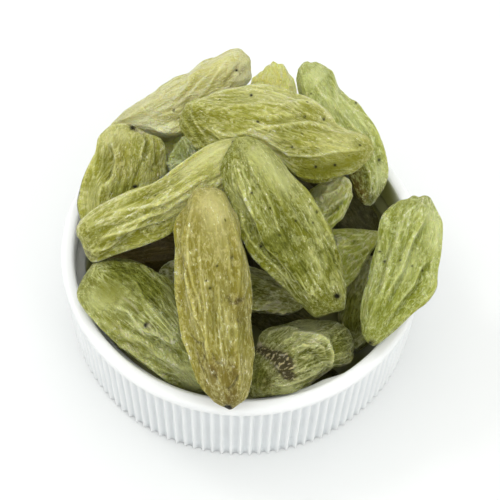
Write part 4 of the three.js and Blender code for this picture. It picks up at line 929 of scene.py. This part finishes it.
def linesAt(skin, along, across, width, seed, waver=0.6, step=0.02, flattest=0.35):
    # 1 on thin lines that run along the fruit, 0 between: where a noise drawn out lengthwise crosses
    # nought. Its value over its slope is the distance to the line, so that every line is as wide.
    def wave(places):
        stretched = places / np.array([along, across, across])
        return noiseAt(stretched + waver * noiseAt(0.5 * stretched, seed + 7)[..., None], seed)

    here = wave(skin)
    slope = np.stack([wave(skin + step * axis) - here for axis in np.eye(3)], axis=-1) / step
    away = np.abs(here) / np.maximum(np.linalg.norm(slope, axis=-1), flattest / across)
    return np.exp(-(away / width) ** 2)


def fitOutline(points, outline, rayCount=180, stepCount=40):
    # Moves points across the line of sight so that their outline in the picture is the one given. The
    # picture is squeezed until the piece is about as wide as long; each point is then moved along its
    # ray from the middle by the ray's change of length, less the nearer the middle it is.
    u, v = toPixels(points)
    flat = np.stack([u.ravel(), v.ravel()], axis=-1)
    middle = flat.mean(axis=0)
    variance, axes = np.linalg.eigh(np.cov((flat - middle).T))
    squeeze = axes / np.sqrt(variance)
    corners = np.array(outline + outline[:1], float)
    steps = np.linspace(0, 1, stepCount, endpoint=False)[:, None]
    traced = np.concatenate([a + steps * (b - a) for a, b in zip(corners, corners[1:])])

    def rays(places):
        squeezed = (places - middle) @ squeeze
        turn = np.arctan2(squeezed[:, 1], squeezed[:, 0]) / (2 * math.pi) % 1.0
        return squeezed, np.linalg.norm(squeezed, axis=-1), turn * rayCount

    def reachByRay(reach, ray):
        # the farthest point in each ray's sector, with empty sectors filled from their neighbours
        found = np.zeros(rayCount)
        np.maximum.at(found, ray.astype(int) % rayCount, reach)
        full = np.flatnonzero(found)
        return np.interp(np.arange(rayCount), full, found[full], period=rayCount)

    squeezed, reach, ray = rays(flat)
    now = reachByRay(reach, ray)
    change = reachByRay(*rays(traced)[1:]) / now
    change = 0.25 * np.roll(change, 1) + 0.5 * change + 0.25 * np.roll(change, -1)
    spots = np.arange(rayCount) + 0.5
    grow = np.interp(ray, spots, change, period=rayCount)
    near = np.clip(reach / np.interp(ray, spots, now, period=rayCount), 0, 1)
    moved = middle + (squeezed * (1 + (grow - 1) * near)[:, None]) @ np.linalg.inv(squeeze)
    depth = -((points - eye) @ eyeBack).ravel()
    shift = (moved - flat) * (depth / focal)[:, None]
    return points + (shift[:, :1] * eyeRight - shift[:, 1:] * eyeUp).reshape(points.shape)


def wrinkled(raisin, skin, own, normals, panel):
    # The height of the fine wrinkles and lumps, and the numbers for the material. A wrinkle is higher and
    # carries more painted highlight where a patch noise makes the skin rough; lumps are two broad noises.
    seed, relief, look = raisin["seed"], raisin["relief"], raisinLook
    patches = noiseAt(skin / np.array(look["rough"]["size"]), seed + look["rough"]["seed"])
    rough = smooth(patches, *look["rough"]["range"])
    height, crest = 0, 0
    for kind in look["wrinkles"]:
        lines = linesAt(skin, *kind["lines"], seed + kind["seed"])
        height = height + kind["height"] * lines * (kind["least"] + (1 - kind["least"]) * rough)
        always, more, power = kind["pale"]
        crest = crest + (always + more * rough) * lines ** power
    lumps = sum(lump["share"] * noiseAt(own / lump["size"], seed + lump["seed"]) for lump in look["lumps"])
    height = (height + look["lumpHeight"] * (lumps - look["lumpSink"])) * relief
    folds = look["foldHighlight"] * (1 - smooth(panel, 0.0, look["foldWidth"]))
    values = {
        # painted highlight along fold edges and wrinkle tops, more where the skin is rough
        "crest": folds + (look["highlightLeast"] + (1 - look["highlightLeast"]) * relief) * crest,
        # painted shade: the deep colour in the middle of the smooth panels between the folds
        "hollow": look["hollow"] * (1 - rough) * smooth(panel, *look["hollowRange"]),
        # painted shade: the skin turns to its deep colour where it faces down
        "undersideShade": smooth(normals[..., 2], *look["undersideShadeRange"]),
    }
    for kind in ("paintedGlow", "paintedShade", "warm", "tan", "stain", "dot", "scarAndGlint"):
        values[kind] = np.zeros_like(panel)
    return height, values


def layMarks(name, grid, normals, height, values):
    # The marks, where they fall once the outline is fitted: each a bell curve across its line that runs
    # out at the line's ends. Those off the camera's side fade out.
    look = raisinLook
    u, v = toPixels(fitOutline(grid, outlines[name]) if name in outlines else grid)
    toEye = eye - grid
    facing = smooth((normals * toEye).sum(axis=-1) / np.linalg.norm(toEye, axis=-1), *look["facing"])
    for kind, width, amount, line in marks.get(name, []):
        away, part = distanceTo(u, v, line)
        inLine = np.clip(np.minimum(part, 1 - part) * look["markRun"] + look["markEnd"], 0, 1)
        spread = np.exp(-(away / width) ** 2) * inLine * facing
        if kind == "ridge":
            height = height + amount * spread
            # a ridge also adds painted highlight along its top
            values["crest"] = values["crest"] + look["ridgeHighlight"] * amount * spread ** 3
        elif kind == "groove":
            height = height - amount * spread
            # a groove adds painted shade and takes away painted highlight
            values["hollow"] = values["hollow"] + look["paintedGrooveShade"] * amount * spread
            values["crest"] = values["crest"] * (1 - look["grooveClear"] * spread)
        else:
            strength = look["dotStrength"] if kind == "dot" else 1.0
            values[kind] = values[kind] + strength * amount * spread
    return height


def makeRaisin(name, raisin):
    # the fine skin: the raisin's surface out along its normals by the wrinkles, the marks and the crumbs of
    # its stains, and then fitted to its outline
    look = raisinLook
    fineness = "hidden" if raisin["hidden"] else "small" if name in look["small"] else "large"
    around = raisin["folds"] * (look["round"][fineness] // raisin["folds"])
    along = look["rows"][fineness]
    seed = raisin["seed"]
    length, width, thickness = raisin["size"]
    shaped = (raisin["full"] or raisin["blunt"], look["tipFill"])
    ring = 2 * math.pi * np.arange(90) / 90
    waist = turned(raisin, skinPoints(raisin, 0 * ring, ring, *shaped))
    towards = ring[np.argmax(waist @ eyeBack)]
    s, t, own = skinGrid(raisin, along, around, shaped, look["crowding"], towards)
    place = placeOf(raisin, "raisin_" + name)
    tips = [turned(raisin, tip) + place for tip in skinTips(raisin, shaped)]
    grid = turned(raisin, own) + place
    normals = gridNormals(grid)

    # The relief is drawn on a place between the point itself and the skin laid straight, and on the point
    # itself at the tips, so that the ridges do not all meet there.
    theta = t + wanderAt(raisin, s, t)
    y, z = width / 2 * np.cos(theta), thickness / 2 * np.sin(theta)
    skin = np.stack([s * length / 2 + 0 * t, y, z], axis=-1)
    share = (look["straight"] * (1 - s ** 4))[..., None]
    skin = share * skin + (1 - share) * own
    panel = np.abs(np.sin(raisin["folds"] / 2 * t)) + 0 * s
    height, values = wrinkled(raisin, skin, own, normals, panel)
    height = layMarks(name, grid, normals, height, values)
    height = height * (1 - look["warmCalm"] * np.clip(values["warm"], 0, 1))
    crumbs = noiseAt(own / look["crumbs"]["size"], seed + look["crumbs"]["seed"])
    height = height + look["crumbs"]["height"] * crumbs * smooth(values["stain"], *look["crumbs"]["range"])
    inwards = np.sqrt(np.maximum(0, 1 - s ** 2))  # 0 at the tips
    height = height * (look["tipHeight"] + (1 - look["tipHeight"]) * inwards)
    points = (grid + height[..., None] * normals).reshape(-1, 3)
    closed = np.concatenate([[tips[0]], points, [tips[1]]])
    if name in outlines:
        closed = fitOutline(closed, outlines[name])
    skinTip = np.array([[length / 2, 0.0, 0.0]])
    vectors = {"skin": np.concatenate([-skinTip, skin.reshape(-1, 3), skinTip])}
    stored = {key: np.clip(np.concatenate([value[:1, 0], value.ravel(), value[-1:, 0]]), 0, 1)
              for key, value in values.items()}
    quads, triangles = closedFaces(along - 1, around)
    piece = makePiece("skin_" + name, closed, quads, triangles, stored, vectors)
    colours = skins["shade" if raisin["hidden"] else raisin["skin"]]
    piece.data.materials.append(raisinMaterial("skin_" + name, {**plainSkin, **colours}, seed))
    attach(piece, "root")
    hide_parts("raisin_" + name)


for name, listed in raisins.items():
    makeRaisin(name, {**plain, **listed})
print("raisins made:", len(raisins))


# Cap

# ringMarks are the moulding marks under the cap, as radius and height. threadBase and threadCrest are the
# thread's widths at the wall and at its top. The inside wall takes on painted shade, tinted green as painted
# light reflected from the fruit, from shadeStart under the rim, in full at the height shadeFull. shades are
# lines, in the photograph's pixels, along which it takes on more or less of it: a half width, an amount and
# points. The rib grooves take on a painted blue-grey shade.
cap = {
    "radius": 20.0, "height": 12.4, "mouth": 18.55, "floor": 1.3, "draft": 0.01,
    "ribs": 120, "ribDepth": 0.42, "ribWidth": 0.2, "perRib": 10, "band": 1.1, "rimRound": 0.45,
    "ringMarks": [(0.6, 0.12), (1.1, 0.1), (1.2, 0.0), (9.0, 0.0), (9.1, 0.08), (9.5, 0.08), (9.6, 0.0),
                  (16.0, 0.0)],
    "threadDepth": 1.0, "threadBase": 1.7, "threadCrest": 0.6, "threadPitch": 4.0, "threadTurns": 1.25,
    "threadStart": -45.0, "threadDrop": 1.9, "threadFade": 14.0,
    "shades": [(10.0, 1.0, [(384, 184), (388, 196), (390, 210)]), (8.0, 1.0, [(374, 200), (382, 210)]),
               (9.0, -1.0, [(76, 224), (78, 262)]), (10.0, -1.0, [(356, 354), (374, 352)])],
    "shadeStart": 3.0, "shadeFull": 5.0, "paintedWallShade": (0.36, 0.365, 0.15),
    "cloud": ((0.87, 0.885, 0.885), (0.89, 0.9, 0.895)), "cloudScale": 180.0, "cloudRange": (0.35, 0.65),
    "roughness": (0.3, 0.7, 0.3, 0.42), "ribGrooveShadeColour": (0.66, 0.71, 0.74), "ribGrooveShadeShare": 0.6,
    "scuffScale": 2600.0, "scuff": {"Strength": 0.12, "Distance": 0.00004},
    "shader": {"Subsurface Weight": 0.65, "Subsurface Radius": (1.0, 1.0, 1.0), "Subsurface Scale": 0.003},
}


def arc(middleR, middleZ, size, first, last, count):
    angle = np.radians(np.linspace(first, last, count))
    return np.stack([middleR + size * np.cos(angle), middleZ + size * np.sin(angle)], axis=-1)


def capSection():
    # closed section from the underside's middle, up the outside, over the rim and down to the floor's
    # middle; the third column says how much of the rib relief a point takes
    radius, height, rim = cap["radius"], cap["height"], cap["rimRound"]
    mouth, floorTop = cap["mouth"], cap["floor"]
    ribTop = height - cap["band"]
    foot = radius * (1 - cap["draft"])
    under = [(r, z, 0) for r, z in cap["ringMarks"] + [(foot - 0.75, 0.0)]]
    edge = [(foot - 0.25, 0.02, 0.35), (foot - 0.06, 0.1, 0.8), (foot, 0.28, 1.0)]
    wall = [(foot + (radius - foot) * z / height, z, 1.0) for z in np.linspace(0.6, ribTop - 0.5, 9)]
    top = [(radius - 0.01, ribTop - 0.28, 0.97), (radius, ribTop - 0.14, 0.8), (radius, ribTop - 0.04, 0.4),
           (radius, ribTop + 0.04, 0.1), (radius, ribTop + 0.12, 0.0), (radius, height - rim - 0.15, 0.0)]
    outer = [(r, z, 0) for r, z in arc(radius - rim, height - rim, rim, 0, 90, 7)]
    inner = [(r, z, 0) for r, z in arc(mouth + rim, height - rim, rim, 90, 180, 7)]
    inside = [(mouth, z, 0) for z in (11.0, 10.0, 9.0, 8.0, 7.0, 4.5, floorTop + 1.0)]
    corner = [(r, z, 0) for r, z in arc(mouth - 1, floorTop + 1, 1.0, -10, -90, 6)]
    flat = [(r, floorTop, 0) for r in (12.0, 6.0, 1.0)]
    return np.array(under + edge + wall + top + outer + inner + inside + corner + flat)


def wallShade(points):
    # how much painted shade the inside wall takes on: more with depth, and more or less along the shades
    shade = smooth(points[:, 2], cap["height"] - cap["shadeStart"], cap["shadeFull"])
    u, v = toPixels(points)
    for width, amount, line in cap["shades"]:
        shade = shade + amount * np.exp(-(distanceTo(u, v, line)[0] / width) ** 2)
    return np.clip(shade, 0, 1)


def threadGrid():
    # a ridge that winds down the inside wall, clockwise from above, and runs out at both ends: its section
    # at each step down the wall, in shares of its depth and half widths
    total = cap["threadTurns"] * 360
    wound = np.linspace(1.0, total - 1.0, 300)[:, None]
    angle = np.radians(cap["threadStart"] - wound)
    middle = cap["height"] - cap["threadDrop"] - cap["threadPitch"] * wound / 360
    fade = np.clip(np.minimum(wound, total - wound) / cap["threadFade"], 0, 1)
    crest, base = cap["threadCrest"] / 2, cap["threadBase"] / 2
    upper = [(0.15, base * 0.85), (0.8, crest * 1.3), (1.0, crest * 0.7)]
    lower = [(out, -level) for out, level in reversed(upper)]
    section = np.array([(-0.3, -base), (-0.3, base)] + upper + lower)
    inward = cap["mouth"] - cap["threadDepth"] * fade * section[:, 0]
    level = middle + section[:, 1] * np.maximum(fade, 0.15)
    return np.stack([inward * np.cos(angle), inward * np.sin(angle), level], axis=-1)


def makeCap():
    # The cup is its section turned about Z, with the radius cut back between narrow ribs.
    section = capSection()
    count = cap["ribs"] * cap["perRib"]
    angle = 2 * math.pi * np.arange(count) / count
    across = (np.arange(count) / cap["perRib"] + 0.5) % 1.0 - 0.5
    cut = (1 - np.exp(-((np.abs(across) - 0.5) / cap["ribWidth"]) ** 2))[None, :] * section[:, 2:3]
    radius = section[:, 0:1] - cap["ribDepth"] * cut
    grid = np.stack([radius * np.cos(angle), radius * np.sin(angle), section[:, 1:2] + 0 * radius], axis=-1)
    points = np.concatenate([[[0, 0, cap["ringMarks"][0][1]]], grid.reshape(-1, 3), [[0, 0, cap["floor"]]]])
    quads, triangles = closedFaces(len(section), count)
    inside = (section[:, 0] < cap["mouth"] + 0.1) & (section[:, 1] > 0.2)
    # painted shade on the inside wall and thread
    depth = wallShade(grid.reshape(-1, 3)) * np.repeat(inside, count)
    thread = threadGrid()
    closed = np.concatenate([[thread[0].mean(axis=0)], thread.reshape(-1, 3), [thread[-1].mean(axis=0)]])
    threadQuads, threadTriangles = closedFaces(*thread.shape[:2])
    first = len(points)
    # groove also sets the rib grooves' painted shade, and depth the inside wall's painted shade
    return makePiece(
        "cap_shell", np.concatenate([points, closed]),
        np.concatenate([quads, threadQuads + first]), np.concatenate([triangles, threadTriangles + first]),
        {"groove": np.concatenate([[0], cut.ravel(), [0], np.zeros(len(closed))]),
         "depth": np.concatenate([[0], depth, [1], wallShade(closed)])})


def capMaterial():
    # satin moulded plastic: near white, a little see-through, with faint flow mottling and fine scuffs,
    # painted blue-grey shade in the rib grooves and green-tinted painted shade down the inside wall
    material, tree, shader = newMaterial("cap_plastic", cap["shader"])
    place = node(tree, "TexCoord").outputs["Object"]
    cloud = node(tree, "TexNoise", {"Vector": place, "Scale": cap["cloudScale"], "Detail": 3.0}).outputs[0]
    scuff = node(tree, "TexNoise", {"Vector": place, "Scale": cap["scuffScale"], "Detail": 2.0}).outputs[0]
    colour = mixed(tree, ranged(tree, cloud, *cap["cloudRange"]), *cap["cloud"])
    # painted shade: blue-grey in the rib grooves
    ribGrooveShaded = maths(tree, "MULTIPLY", attribute(tree, "groove"), cap["ribGrooveShadeShare"])
    colour = mixed(tree, ribGrooveShaded, colour, cap["ribGrooveShadeColour"])
    # painted shade down the inside wall, tinted green as painted light reflected from the fruit
    colour = mixed(tree, attribute(tree, "depth"), colour, cap["paintedWallShade"])
    tree.links.new(colour, shader.inputs["Base Color"])
    tree.links.new(ranged(tree, cloud, *cap["roughness"]), shader.inputs["Roughness"])
    bump = node(tree, "Bump", {**cap["scuff"], "Height": scuff})
    tree.links.new(bump.outputs[0], shader.inputs["Normal"])
    return material


capPiece = makeCap()
capPiece.data.materials.append(capMaterial())
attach(capPiece, "root")
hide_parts("cap")
print("cap made")


# Floor and light

light = {
    "floor": {"Base Color": (0.783, 0.788, 0.782, 1.0), "Roughness": 0.9}, "floorReach": 2.0,
    "sky": (0.99, 1.0, 0.99, 1.0), "zenith": 1.6, "horizon": 0.52, "aim": (0.0, 0.0, 0.012),
    "lamps": {"key": {"at": (-0.2, 0.12, 0.32), "size": 0.08, "power": 0.17},
              "fill": {"at": (0.2, -0.24, 0.25), "size": 0.1, "power": 0.1}},
}

reach = light["floorReach"]
floorMesh = bpy.data.meshes.new("floor")
floorMesh.from_pydata([(-reach, -reach, 0), (reach, -reach, 0), (reach, reach, 0), (-reach, reach, 0)],
                      [], [(0, 1, 2, 3)])
floor = bpy.data.objects.new("floor", floorMesh)
bpy.context.scene.collection.objects.link(floor)
floorMesh.materials.append(newMaterial("floor", light["floor"])[0])

world = bpy.data.worlds.new("world")
world.use_nodes = True
sky = world.node_tree
direction = node(sky, "SeparateXYZ", {0: node(sky, "TexCoord").outputs["Generated"]})
background = sky.nodes["Background"]
background.inputs["Color"].default_value = light["sky"]
sky.links.new(ranged(sky, direction.outputs[2], 0.0, 1.0, light["horizon"], light["zenith"]),
              background.inputs["Strength"])
bpy.context.scene.world = world
for name, lamp in light["lamps"].items():
    lampData = bpy.data.lights.new(name, "AREA")
    lampData.size = lamp["size"]
    lampData.energy = lamp["power"]
    made = bpy.data.objects.new(name, lampData)
    made.location = lamp["at"]
    made.rotation_euler = (Vector(lamp["at"]) - Vector(light["aim"])).to_track_quat("Z", "Y").to_euler()
    bpy.context.scene.collection.objects.link(made)
bpy.context.scene.view_settings.view_transform = "Standard"
print("stage set")
